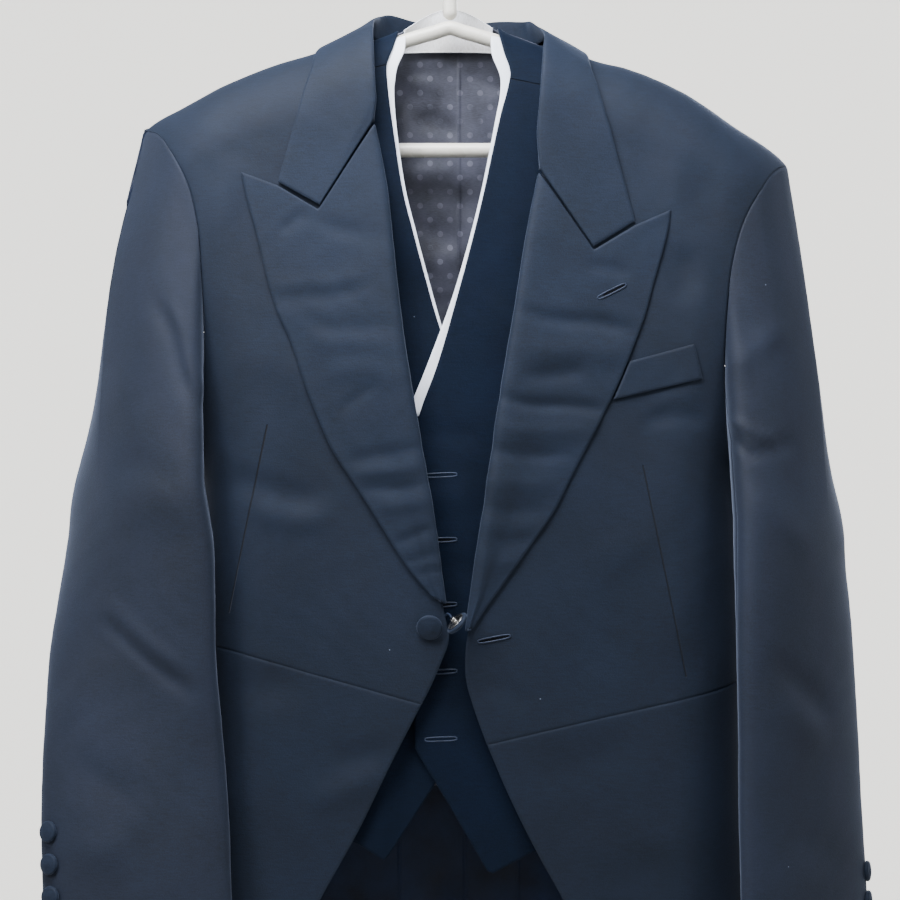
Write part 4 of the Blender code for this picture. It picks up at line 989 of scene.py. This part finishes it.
# %% Lapels
LAPEL_EDGE = {
    RIGHT: [(-155.2, 195.8), (-150.3, 217), (-143.4, 242), (-135.6, 275), (-127.9, 300),
            (-117.9, 322), (-107.3, 354), (-97.6, 379), (-86.7, 403), (-65.9, 435),
            (-48.8, 462), (-31.7, 488.6), (-13.4, 511)],
    LEFT: [(163.5, 224.2), (162, 237), (157, 257), (150.6, 279), (143.6, 304.6),
           (134, 329.4), (124, 354), (111.8, 379), (90.4, 420.3), (75.6, 449.5),
           (58.6, 474), (41.5, 498.4), (24.4, 522.7), (17.5, 534)],
}
LAPEL_TOP = {
    RIGHT: [(-56.4, 162.4), (-97.4, 225), (-127.8, 206.4), (-155.2, 195.8)],
    LEFT: [(65.9, 198.2), (106, 255), (137.2, 236), (163.5, 224.2)],
}
LAPEL_ROLL = {
    RIGHT: [(-56.4, 161), (-47.5, 206), (-42.4, 250), (-36.6, 301), (-29.2, 352),
            (-20.5, 403), (-11.7, 454), (-3.4, 516)],
    LEFT: [(65.9, 197.5), (57, 242), (47.5, 301), (38.7, 352), (32.2, 396), (24.9, 447),
           (19, 484), (11.9, 536)],
}
LAPEL_ACROSS = [
    # millimetres out from the roll, share of the rest, share of the roll's height, lift
    (0.0, 0.0, 0.0, -0.4), (-0.9, 0.0, 0.42, 0.2), (0.0, 0.0, 0.8, 1.2), (5.0, 0.0, 1.0, 2.2),
    (5.0, 0.16, 0.78, 2.6), (5.0, 0.39, 0.3, 2.9), (5.0, 0.73, 0.08, 2.9), (5.0, 1.0, 0.0, 2.9),
]


def lapel(side):
    """Each row runs from the roll to the edge; the height over the coat is the roll's height times
    its share, plus a lift; the top rows bend to the gorge by (1 - v)^2."""
    v = spread(0, 1, 130, 330)
    s = np.concatenate([np.linspace(0, 4, 17)[:-1], spread(4, 7, 48, 80, first=False)])
    roll = along(LAPEL_ROLL[side], v)[:, None, :]
    edge = along(LAPEL_EDGE[side], v)[:, None, :]
    height = through([0, 0.3, 0.75, 1], [2.6, 6, 5.4, 2.0], v)[:, None]
    section = through(np.arange(8), LAPEL_ACROSS, s)
    inset, share, rise, lift = np.moveaxis(section, -1, 0)[:, None, :]
    width = np.abs(edge[..., 0] - roll[..., 0])
    near = np.minimum(inset, width * 0.3)
    t = (near + share * (width - near)) / width
    place = roll + (edge - roll) * t[..., None]
    top = np.array(LAPEL_TOP[side], float)
    reach = np.maximum(t, 0)
    at_top = top[0, 0] + (top[-1, 0] - top[0, 0]) * reach
    straight = top[0, 1] + (top[-1, 1] - top[0, 1]) * reach
    bend = np.interp(side * at_top, side * top[:, 0], top[:, 1]) - straight
    drop = place[..., 1] + (bend + 1.0) * (1 - v[:, None]) ** 2
    return on_form(COAT, side, "front", place[..., 0], drop, height * rise + lift)


for side in (RIGHT, LEFT):
    cloth(f"lapel_{WORD[side]}", lapel(side), COAT_WALL, [LAPEL_WOOL], (12, 0, -330),
          table=LAPEL_CREASES, swell=0.5)

# %% [markdown]
# The collar goes round the neck in one piece: a stand inside, a fold, and a fall that lies on the
# coat. Each row of its table has four places, from the stand to the outer edge, and the sheet is a
# Hermite surface through them. Its two ends are cut straight, which makes the notch with the peaks.

# %% Collar
COLLAR = {
    # kind of the stand's two places, kind of the fall's two, then x, second, third of all four
    RIGHT: [
        ("free", "back", 6, 49.6, 90.6, 6, 54, 68, 6, 97, 9, 6, 121, 4.4),
        ("free", "back", -22, 45.4, 89, -23, 50, 66, -26, 96, 9, -33, 120, 4.4),
        ("free", "back", -44, 34.6, 86.6, -45, 38, 62.5, -52, 97, 7, -66, 116, 4.3),
        ("free", "back+", -54.2, 24, 85.6, -54, 25, 66, -67, 7, 5.6, -84, 14, 3.6),
        ("free", "back+", -59.7, 12, 84.6, -56.8, 12, 69.5, -73, 2, 4.8, -92, 3.6, 2.9),
        ("free", "ridge", -61.2, 2, 84.4, -58.8, 1, 73.5, -77, 0, 4.0, -97, 0, 2.4),
        ("free", "front+", -60.8, -10, 86, -59.3, -9, 78, -79, 1.8, 4.1, -100, 2.8, 2.6),
        ("front+", "front+", -60, 7, -0.4, -59.6, 5, 8, -79.5, 7, 4.6, -102, 9.5, 3.2),
        ("front", "front", -59, 103, -0.4, -59, 99, 7.4, -79.6, 109, 5, -104, 121, 3.9),
        ("front", "front", -57.8, 115, -0.4, -58.4, 112, 6.8, -80.5, 127, 5, -109, 136, 3.6),
        ("front", "front", -57, 130, -0.4, -57.5, 128, 6.2, -83, 152, 4.6, -114, 155, 3.4),
        ("front", "front", -56.2, 145, -0.4, -56.8, 143, 5.8, -88, 185, 4, -119.5, 175, 3.1),
        ("front", "front", -55.8, 159.5, -0.4, -56.6, 159, 5,
         -96.4, 221.8, 3.4, -127.8, 204.2, 3.1),
    ],
    LEFT: [
        ("free", "back", 34, 45.4, 90.4, 35, 50, 65, 38, 97, 9, 45, 123, 4.4),
        ("free", "back", 55.2, 34.6, 88.8, 57, 38, 67.5, 64, 99, 7, 78, 120, 4.3),
        ("free", "back+", 66.2, 24, 88, 62.5, 25, 70, 79, 7, 6.5, 94, 14, 4.9),
        ("free", "back+", 71.7, 12, 87.4, 67, 12, 76, 84.5, 2, 6, 100, 3.6, 4.6),
        ("free", "ridge", 73.2, 2, 87.4, 69.8, 1, 80, 88, 0, 4.6, 103, 0, 3.2),
        ("free", "front+", 72.8, -10, 88.6, 70.8, -9, 83.5, 89, 1.8, 4.1, 104, 2.8, 2.6),
        ("front+", "front+", 72, 7, -0.4, 71.6, 5, 8, 89.4, 7, 4.6, 104.5, 9.5, 3.2),
        ("front", "front", 71, 106, -0.4, 71, 102, 7.4, 89.6, 113, 5, 106, 121, 3.9),
        ("front", "front", 69.4, 120, -0.4, 70, 117, 6.8, 90.5, 134, 5, 111, 137, 3.6),
        ("front", "front", 67.8, 142, -0.4, 68.4, 140, 6.2, 92, 164, 4.6, 117.5, 160, 3.4),
        ("front", "front", 66, 170, -0.4, 66.6, 168, 5.8, 96, 210, 4, 126.2, 193, 3.1),
        ("front", "front", 65.4, 195.5, -0.4, 66.2, 195, 5, 106, 253.0, 3.4, 137, 234, 3.1),
    ],
}


def collar_point(side, kind, x, second, third):
    """A place of the table: free in space, on the shoulder ridge, or lifted off front or back."""
    if kind == "free":
        return np.array([x, second, -third], float)
    if kind == "ridge":
        return np.array([x, 0.0, third - ridge_drop(COAT, x)])
    if kind.endswith("+"):
        kind, second = kind[:-1], ridge_drop(COAT, x) + second
    return on_form(COAT, side, kind, x, second, third)


def collar_row(side, row):
    stand, fall, *numbers = row
    places = np.reshape(numbers, (4, 3))
    return [collar_point(side, kind, *place)
            for kind, place in zip((stand, stand, fall, fall), places)]


def collar():
    """Hermite curves across each row and along each column; the end rows are straight."""
    rows = [collar_row(RIGHT, row) for row in COLLAR[RIGHT][::-1]]
    rows = np.array(rows + [collar_row(LEFT, row) for row in COLLAR[LEFT]])
    last = len(rows) - 1
    at = spread(0, last, 150, 620)
    across = np.concatenate([spread(0, 1, 10, 20, both=False), np.linspace(1, 2, 19)[1:-1],
                             spread(2, 3, 22, 45, first=False)])
    lines = through(np.arange(last + 1), rows.reshape(last + 1, -1), at).reshape(len(at), 4, 3)
    columns = np.moveaxis(lines, 1, 0).reshape(4, -1)
    fair = through(np.arange(4), columns, across).reshape(len(across), len(at), 3)
    fair = np.moveaxis(fair, 0, 1)
    plain = np.array([[np.interp(across, range(4), axis) for axis in line.T] for line in lines])
    plain = np.moveaxis(plain, 1, 2)
    end = ease(1 - np.minimum(at, last - at))[:, None, None]
    return fair * (1 - end) + plain * end


cloth("collar", collar(), COAT_WALL, [LAPEL_WOOL], (6, 0, -120))

# %% [markdown]
# The waistcoat is cut low, with a V neck and two points at the front, and it hangs from the
# hanger's arms. Its fronts are wool and its back is lining. The wearer's right front lies back
# under the left one, where the buttonholes are. The white slip shows as a narrow line inside the V.

# %% Waistcoat and slip
VEST_NECK = {
    RIGHT: [(-40, 86.2), (-43.4, 100), (-47.7, 113.6), (-47.3, 126), (-44.5, 150), (-42, 168),
            (-34.9, 212), (-27.8, 240), (-21.5, 264), (-9.4, 307), (2, 340), (9, 375),
            (10, 460), (10, 540), (9, 622)],
    LEFT: [(37, 86.6), (40.8, 104), (45.3, 121), (42.8, 136), (38.9, 150), (33.2, 175),
           (25.9, 209), (19, 238), (4.8, 291.5), (-9.3, 340), (-22.9, 378), (-27, 400),
           (-27, 460), (-27, 540), (-26, 625)],
}
VEST_SIDE = {
    RIGHT: [(-163, 129), (-152, 160), (-146, 210), (-150, 260), (-162, 305), (-179, 340),
            (-190, 360), (-190, 420), (-190, 540), (-190, 668)],
    LEFT: [(163, 132), (157, 164), (153, 214), (158, 264), (172, 309), (191, 344),
           (204, 364), (204, 424), (204, 544), (204, 680)],
}
VEST_HEM = {
    RIGHT: [(9, 622), (-12.6, 654), (-48.2, 709.6), (-69, 696), (-120, 680), (-186, 668)],
    LEFT: [(-26, 625), (0, 668), (29.6, 719.5), (60.6, 703), (120, 690), (200, 680)],
}
VEST_BACK_SIDE = {
    RIGHT: [(-163, 129), (-158, 170), (-154, 230), (-160, 290), (-178, 338), (-190, 360),
            (-190, 460), (-190, 560), (-190, 666)],
    LEFT: [(163, 132), (162, 174), (162, 234), (170, 294), (190, 342), (204, 364),
           (204, 464), (204, 564), (204, 678)],
}
VEST_ROWS = [0, 0.006, 0.018, 0.045, 0.09, 0.16, 0.24, 0.33, 0.43, 0.53, 0.64, 0.76, 0.88, 1.0]
# middle of the waistcoat's back, then the slip: how far it reaches in under the cloth, how far it
# lies inside the front and the back, where its back ends and the x of that band's two ends
VEST_MIDDLE = 7.0
SLIP_UNDER, SLIP_INSIDE, SLIP_BACK_INSIDE, SLIP_END, SLIP_BACK_X = 9, 2.6, 3.8, 95, (-39, 36)
SLIP_SHOWN = {
    # how much shows past the neckline, by the share of its length from the shoulder
    RIGHT: ([0, 0.05, 0.11, 0.18, 0.28, 0.6, 0.9, 1], [5, 8, 7.4, 4.6, 3.0, 2.4, 2.0, 0.8]),
    LEFT: ([0, 0.05, 0.11, 0.18, 0.28, 0.55, 0.7, 0.85, 1],
           [5, 8.4, 7.6, 4.6, 3.0, 2.7, 3.9, 7.6, 10]),
}


def vest_rows(count):
    rows = spread(0, 13, count, 560)
    return rows / 13, np.clip(through(np.arange(14), VEST_ROWS, rows), 0, 1)


def sunk(side, across, drop):
    """How far the wearer's right front and its slip lie back under the left front."""
    if side == LEFT:
        return 0.0 * across * drop
    return -4.2 * ease((62 - across) / 20) * ease((drop - 235) / 60)


def vest_front(side):
    v, at = vest_rows(170)
    inner = rows_along(VEST, side, "front", VEST_NECK[side], at)
    outer = rows_along(VEST, side, "front", VEST_SIDE[side], at)
    outer[:, 0] -= SEAM_GAP
    hem = np.array(VEST_HEM[side], float)

    def bottom(girth, drop):
        x = surface(VEST, side, girth, drop)[..., 0]
        return np.interp(side * x, side * hem[:, 0], hem[:, 1])

    points = panel(VEST, side, inner, outer, spread(0, 1, 60, 190), v, shoulder_line(VEST, side),
                   bottom, lambda girth, drop: sunk(side, girth, drop), fade=3)
    points[0, :, 1] = np.minimum(points[0, :, 1], -RIDGE_GAP / 2)
    return points


def vest_back(side):
    v, at = vest_rows(128)
    outer = rows_along(VEST, side, "back", VEST_BACK_SIDE[side], at)
    outer[:, 0] += SEAM_GAP
    inner = rows_along(VEST, side, "back", [(VEST_MIDDLE, drop) for drop in (63, 300, 664)], at)
    inner[:, 0] -= SEAM_GAP / 2
    points = panel(VEST, side, inner, outer, spread(0, 1, 54, 190), v, shoulder_line(VEST, side),
                   fade=5)
    points[0, :, 1] = np.maximum(points[0, :, 1], RIDGE_GAP / 2)
    return points


def slip(side):
    """White band under the neckline: the line is moved across, from SLIP_UNDER mm below the cloth
    to a few millimetres past its edge."""
    neck = np.array(VEST_NECK[side][:11], float)
    neck[0] = neck[0] * 0.95 + neck[1] * 0.05
    rows = spread(0, 1, 110, 300)
    line = along(neck, rows)[:, None, :]
    shown = through(*SLIP_SHOWN[side], rows)[:, None]
    share = spread(0, 1, 12, 13)[None, :]
    x = line[..., 0] - side * (-SLIP_UNDER * (1 - share) + shown * share)
    drop = line[..., 1] + 0 * x
    lift = -SLIP_INSIDE + sunk(side, side * (x - VEST["centre"]), drop)
    return on_form(VEST, side, "front", x, drop, lift)


def slip_back():
    """Level band inside the back neck, from the shoulder line down."""
    x = np.linspace(*SLIP_BACK_X, 75)[None, :]
    share = spread(0, 1, 14, 30)[:, None]
    drop = (ridge_drop(VEST, x) - 1.4) * (1 - share) + SLIP_END * share
    x = x + 0 * drop
    right = on_form(VEST, RIGHT, "back", np.minimum(x, VEST_MIDDLE - 0.01), drop,
                    -SLIP_BACK_INSIDE)
    left = on_form(VEST, LEFT, "back", np.maximum(x, VEST_MIDDLE), drop, -SLIP_BACK_INSIDE)
    return np.where((x < VEST_MIDDLE)[..., None], right, left)


for side in (RIGHT, LEFT):
    word = WORD[side]
    cloth(f"waistcoat_front_{word}", vest_front(side), WAISTCOAT_WALL, [VEST_WOOL_PAINTED_SHADE, LINING],
          (VEST_MIDDLE, 0, -350), VEST_CREASES, swell=0.5)
    cloth(f"waistcoat_back_{word}", vest_back(side), WAISTCOAT_WALL, [LINING],
          (VEST_MIDDLE, 0, -350), VEST_CREASES, VEST_BACK_CREASES, swell=0.6)
    cloth(f"slip_{word}", slip(side), SLIP_WALL, [COTTON], (VEST_MIDDLE, 0, -250))
cloth("slip_back", slip_back(), SLIP_WALL, [COTTON, NECK_FACING_AND_SHADE], (VEST_MIDDLE, 0, -90))

# %% [markdown]
# The chest pocket's welt is a folded strip sewn on the left front: its two ends and its lower edge
# are stitched down and the top is open. It lies on the coat's own creases.

# %% Chest pocket welt
WELT = [
    # the two ends of the top, the middle and the bottom, x and drop
    ((132.5, 337.8), (180.3, 325)),
    ((126.6, 352), (183.4, 337.8)),
    ((120.3, 366.2), (186.2, 350.8)),
]


def welt():
    """Straight lines between the two ends of top, middle and bottom, laid on the coat's form."""
    ends = np.array(WELT, float)
    v = spread(0, 2, 16, 18)
    start, end = through([0, 1, 2], ends[:, 0], v), through([0, 1, 2], ends[:, 1], v)
    u = spread(0, 1, 40, 60)[None, :, None]
    place = start[:, None, :] * (1 - u) + end[:, None, :] * u
    return on_form(COAT, LEFT, "front", place[..., 0], place[..., 1], 2.5)


cloth("chest_pocket_welt", welt(), COAT_WALL, [WOOL], (COAT_MIDDLE, 0, -330),
      COAT_CREASES, swell=1.3)

# %% [markdown]
# Buttons are moulds covered with the suit's own cloth: a low dome with a soft rim, turned from a
# profile. The two that link the fronts face apart, with a nickel shank and a thread between them.

# %% Buttons
def aimed(points, place, direction):
    """Points of a piece made along +Z, turned to a direction and moved to a place."""
    turn = np.array(Vector(direction).to_track_quat("Z", "Y").to_matrix())
    return points @ turn.T + np.asarray(place)


def turned(profile, place, direction, steps=36):
    """A profile of radius and height, smoothed and carried round: x = r cos a, y = r sin a."""
    profile = np.array(profile, float)
    count = len(profile)
    fine = through(np.arange(count), profile, np.linspace(0, count - 1, 6 * count))
    radius, height = np.maximum(fine[:, 0], 0)[:, None], fine[:, 1][:, None]
    angle = round_angles(steps)[None, :]
    points = np.stack([radius * np.cos(angle), radius * np.sin(angle), height + 0 * angle], axis=-1)
    middle = np.array([0, 0, profile[:, 1].mean()])
    return aimed(points, place, direction), aimed(middle, place, direction)


def solid(name, node, points, hub, finish, slot):
    """A closed piece from a grid that goes once round, in place of a CAD node if one is named."""
    made = grid_mesh(name, points, hub, [finish], close=True)
    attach(made, "root")
    if node:
        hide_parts(node)


def button(node, radius, place, direction):
    """A covered button: flat back, rolled rim, a shallow ring just inside it and a low dome."""
    profile = [(0, 0.0), (radius * 0.8, 0.0), (radius * 0.95, 0.4), (radius, 1.5),
               (radius * 0.95, 2.7), (radius * 0.84, 3.3), (radius * 0.72, 3.5),
               (radius * 0.4, 4.1), (0, 4.5)]
    solid("covered_" + node, node, *turned(profile, place, direction), LAPEL_WOOL, "navy_worsted")


def sleeve_place(side, drop, angle):
    """Point and outward direction on the arm of a sleeve."""
    angle = math.radians(angle)
    at = oval(side, float(drop), np.array(angle))
    near = oval(side, float(drop), np.array(angle + 0.01)) - at
    down = oval(side, float(drop) + 5, np.array(angle)) - at
    normal = np.cross(near, down)
    normal /= np.linalg.norm(normal)
    middle = oval(side, float(drop), np.array([0.0, math.pi])).mean(axis=0)
    return at, normal * np.sign(normal @ (at - middle))


CUFF_BUTTONS = {RIGHT: (84, 61, 38), LEFT: (67, 45, 23)}
for side in (RIGHT, LEFT):
    for number, above in enumerate(CUFF_BUTTONS[side]):
        at, normal = sleeve_place(side, SLEEVE[side][-1][0] - above, 150)
        button(f"cuff_button_{WORD[side]}_{number + 1}", 7.8, at + normal * 0.4, normal)
    x, drop = BACK_SEAM[side][-1]
    place = on_form(COAT, side, "back", x, drop - 2, 1.2)
    button(f"back_button_{WORD[side]}", 9.5, place,
           place - on_form(COAT, side, "back", x, drop - 2))

button("link_button_outer", 9.7, on_form(COAT, RIGHT, "front", -14.6, 533, 2.9),
       (-0.12, -0.95, -0.29))
LINK_BACK = np.array([4.3, -80.0, -528.0])
LINK_TURN = np.array([0.71, 0.25, -0.66])
button("link_button_inner", 9.5, LINK_BACK, LINK_TURN)
SHANK = [(0, 0.0), (6.8, 0.0), (6.4, 0.7), (2.2, 1.0), (2.2, 2.8), (1.8, 3.8), (0, 3.8)]
solid("nickel_link_shank", "link_shank", *turned(SHANK, LINK_BACK - LINK_TURN * 0.4, -LINK_TURN),
      NICKEL, "nickel")
print(len(PIECES), "pieces of cloth and 12 turned ones")

# %% [markdown]
# Tubes are carried along a path: at each point of a smooth centre line stands a small ring, square
# to the path. The hanger is one closed loop of 11 mm tube with a hooked stem. The link's thread is
# a thin one.

# %% Hanger and link thread
TUBE = 5.5
BAR_DROP = 173.8
HANGER_REACH = 193


def tube(path, radius, cyclic=False, steps=24, spacing=2.0):
    """Centre plus r (n cos a + b sin a), with n and b square to the path. At an open end the radius
    closes as sqrt(r^2 - (r - d)^2), where d is the distance to the end."""
    path = np.asarray(path, float)
    if cyclic:
        path = np.vstack([path[-1:], path, path[:2]])
    length = np.concatenate([[0], np.cumsum(np.linalg.norm(np.diff(path, axis=0), axis=1))])
    first, last = (length[1], length[-2]) if cyclic else (0.0, length[-1])
    at = np.linspace(first, last, int((last - first) / spacing) + 2)
    size = np.full(len(at), float(radius))
    if not cyclic:
        cap = radius * (1 - np.cos(np.linspace(0, math.pi / 2, 8)))
        at = np.concatenate([cap, at[(at > radius) & (at < last - radius)], last - cap[::-1]])
        end = np.minimum(np.minimum(at, last - at), radius)
        size = np.sqrt(np.maximum(radius**2 - (radius - end) ** 2, 0))
    centre = through(length, path, at)
    ahead = np.gradient(centre, axis=0)
    if cyclic:
        ahead[0] = ahead[-1] = ahead[0] + ahead[-1]
    ahead /= np.linalg.norm(ahead, axis=-1, keepdims=True)
    beside = np.cross(ahead, np.array([0.05, 1.0, 0.08]))
    beside /= np.linalg.norm(beside, axis=-1, keepdims=True)
    other = np.cross(ahead, beside)
    angle = round_angles(steps)[None, :, None]
    round_it = beside[:, None, :] * np.cos(angle) + other[:, None, :] * np.sin(angle)
    return centre[:, None, :] + size[:, None, None] * round_it, centre[:, None, :]


def hanger_loop():
    """Two arms, rounded ends and a straight bar."""
    arm = np.linspace(24, HANGER_REACH, 9)
    x = np.concatenate([-arm[::-1], [-12, 0, 12], arm])
    arms = np.stack([x, 0 * x, -(hanger_drop(x) + TUBE * 1.06)], axis=-1)
    ends = []
    for side in (LEFT, RIGHT):
        high = hanger_drop(side * HANGER_REACH) + TUBE * 1.06
        middle, radius = (high + BAR_DROP) / 2, (BAR_DROP - high) / 2
        turn = np.radians([60, 90, 120, 150, 180])
        reach = side * (HANGER_REACH + (radius + 1) * np.sin(turn))
        ends.append(np.stack([reach, 0 * turn, -(middle - radius * np.cos(turn))], axis=-1))
    bar = [(x, 0, -BAR_DROP) for x in (100, 0, -100)]
    return np.vstack([arms, ends[0], bar, ends[1][::-1]])


def hook_line():
    """Stem and hook: the inside top of the hook is the origin."""
    radius = 24.0
    centre = radius - TUBE
    stem = [(0, 0, -hanger_drop(0) + 0.4), (0, 0, -66), (0, 0, -57), (1.5, 0, -51)]
    turn = np.radians(np.linspace(-40, 215, 13))
    bend = [(radius * math.cos(a), 0, radius * math.sin(a) - centre) for a in turn]
    return np.array(stem + [(7, 0, -44), (14, 0, -38.5)] + bend)


solid("plastic_hanger", "hanger", *tube(hanger_loop(), TUBE, cyclic=True), PLASTIC, "white_plastic")
solid("plastic_hook", "hanger_hook", *tube(hook_line(), TUBE), PLASTIC, "white_plastic")
LINK_START = on_form(COAT, RIGHT, "front", -3.6, 525, 0.9)
LINK_THREAD = [LINK_START, LINK_START + (0.9, -2.6, 1.2), (-0.9, -76.0, -522.6),
               (0.3, -80.0, -523.4), (1.0, -82.6, -524.6)]
solid("wound_link_thread", "link_thread", *tube(LINK_THREAD, 0.7, steps=12, spacing=0.4), THREAD,
      "navy_worsted")
print("hanger is", 2 * HANGER_REACH, "mm wide")

# %% [markdown]
# A hand-worked buttonhole is a slit with thread purled round it. The thread is a small tube along a
# long oval, and its stitches swell it every 0.9 mm. A dark lens of painted shade lies in the
# middle, where the slit's opening is in shadow.

# %% Buttonholes
STITCH, PURL, PURL_SWELL = 0.9, 0.52, 0.18


def buttonhole(name, form, side, start, end, out, half=1.5):
    """An oval ring round the slit: its height over the cloth is out + r sin b, and its radius
    swells as r (1 + swell cos(2 pi s / stitch)), where s is the length along the ring."""
    start, end = np.array(start, float), np.array(end, float)
    run = np.linalg.norm(end - start)
    way = (end - start) / run
    square = np.array([-way[1], way[0]])
    angle = round_angles(160)
    reach = np.sign(np.cos(angle)) * np.abs(np.cos(angle)) ** 0.75 * run / 2
    wide = half * np.sign(np.sin(angle)) * np.abs(np.sin(angle)) ** 0.45
    line = (start + end) / 2 + reach[:, None] * way + wide[:, None] * square
    ring = on_form(form, side, "front", line[:, 0], line[:, 1], out)
    ahead = np.roll(ring, -1, axis=0) - np.roll(ring, 1, axis=0)
    gone = np.cumsum(np.linalg.norm(ahead, axis=1)) / 2
    ahead /= np.linalg.norm(ahead, axis=-1, keepdims=True)
    up = on_form(form, side, "front", line[:, 0], line[:, 1], out + 1.0) - ring
    beside = np.cross(ahead, up)
    turn = round_angles(10)[None, :, None]
    size = (PURL * (1 + PURL_SWELL * np.cos(2 * math.pi * gone / STITCH)))[:, None, None]
    points = ring[:, None, :] + size * (beside[:, None, :] * np.cos(turn)
                                        + 0.8 * up[:, None, :] * np.sin(turn))
    points = np.concatenate([points, points[:1]])
    solid(name, None, points, np.concatenate([ring, ring[:1]])[:, None, :], THREAD, "navy_worsted")
    share = np.linspace(0, 1, 6)[:, None]
    middle = (start + end) / 2
    slit = middle + share[..., None] * (line[None, :, :] - middle)
    lens = on_form(form, side, "front", slit[..., 0], slit[..., 1],
                   out - 0.15 * share - 0.1)
    made = grid_mesh(name + "_slit", lens, lens.mean(axis=(0, 1)) + [0, 30, 0], [SLIT_SHADE], close=True)
    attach(made, "root")


# the slit's lens is painted shade: near-black, where the opening is in shadow
SLIT_SHADE = hard("shadowed_slit", "#04060a", "#090c13", (0.8, 0.9), 2, Specular_IOR_Level=0.1)
buttonhole("lapel_buttonhole", COAT, LEFT, (108.8, 291.5), (129.4, 281.2), 4.0)
buttonhole("front_buttonhole", COAT, LEFT, (20.6, 544.3), (44.1, 539.9), 0.3)
for number, drop in enumerate((421.7, 469.7, 517.7, 567.3, 617.5)):
    buttonhole(f"waistcoat_buttonhole_{number + 1}", VEST, LEFT, (-18.5, drop + 0.6),
               (5.0, drop - 0.4), 0.2)
print("7 buttonholes")

# %% [markdown]
# The studio is a wide pale bowl: a floor that curves up into a wall all round, so that the suit
# hangs in front of a plain pale ground from every side. It is turned from a profile too.

# %% Pale ground
# the ground glows to the camera and hardly lights the cloth
SEEN_GLOW, CAST_GLOW, FLOOR_DROP = 2.3, 0.07, 1500
GROUND, tree, shader, _ = start_material(
    "matt_pale_ground", 0.95, Base_Color=linear("#dfdfdc"), Emission_Color=linear("#e0ded8"))
glow = remap(tree, add(tree, "LightPath").outputs["Is Camera Ray"], 0.0, 1.0, CAST_GLOW, SEEN_GLOW)
tree.links.new(glow, shader.inputs["Emission Strength"])
BOWL = [(0, 0), (2500, 0), (3200, 0), (3900, 120), (4500, 500), (4900, 1200), (5000, 2200),
        (5000, 4200)]
bowl = through(np.arange(8), BOWL, np.linspace(0, 7, 64))
angle = round_angles(96)[None, :]
radius, height = bowl[:, 0][:, None], bowl[:, 1][:, None] - FLOOR_DROP
ground = grid_mesh("pale_ground", np.stack(
    [radius * np.cos(angle), radius * np.sin(angle), height + 0 * angle], axis=-1),
    (0, 0, 0), [GROUND], close=True)

# %% [markdown]
# The light is soft and comes from above: a large area light over the front makes the shoulders and
# the tops of the sleeves pale and leaves the lower cloth deep. A weaker one fills from the right.
# One behind, low enough to miss the shoulders' tops, lights the back. The world gives the rest.

# %% Light
def area_light(name, place, target, size, power, colour):
    light = bpy.data.lights.new(name, "AREA")
    light.shape = "DISK"
    light.size = size
    light.energy = power
    light.color = linear(colour)[:3]
    made = bpy.data.objects.new(name, light)
    bpy.context.scene.collection.objects.link(made)
    made.location = place
    made.rotation_mode = "QUATERNION"
    made.rotation_quaternion = (Vector(target) - Vector(place)).to_track_quat("-Z", "Y")


area_light("ceiling_softbox", (-0.2, -0.55, 0.6), (0, 0, -0.2), 0.8, 43, "#f2f6ff")
area_light("front_left_softbox", (-1.4, -1.4, 0.8), (0, 0, -0.35), 0.9, 42, "#f4f7ff")
area_light("right_fill", (1.5, -1.3, 0.5), (0, 0, -0.4), 1.0, 17, "#eef3ff")
area_light("rear_softbox", (0.9, 1.9, 0.2), (0, 0, -0.45), 1.2, 46, "#f2f5ff")
world = bpy.data.worlds.new("pale_room")
bpy.context.scene.world = world
world.use_nodes = True
world.node_tree.nodes["Background"].inputs["Color"].default_value = linear("#eef1f6")
world.node_tree.nodes["Background"].inputs["Strength"].default_value = 0.2

# %% [markdown]
# The photograph was taken level with the chest from about a metre and a half, so its picture holds
# 690 mm across at the hanger. The camera stands there and looks straight along +Y.

# %% Camera
EYE_DROP = 403.2
DISTANCE = 1550
SEEN = 689.0
camera_data = bpy.data.cameras.new("camera")
camera_data.sensor_width = 36.0
camera_data.lens = 36.0 * DISTANCE / SEEN
camera = bpy.data.objects.new("camera", camera_data)
bpy.context.scene.collection.objects.link(camera)
camera.location = (0, -DISTANCE * MM, -EYE_DROP * MM)
camera.rotation_euler = (math.pi / 2, 0, 0)
bpy.context.scene.camera = camera
print("lens", round(camera_data.lens, 2), "mm")
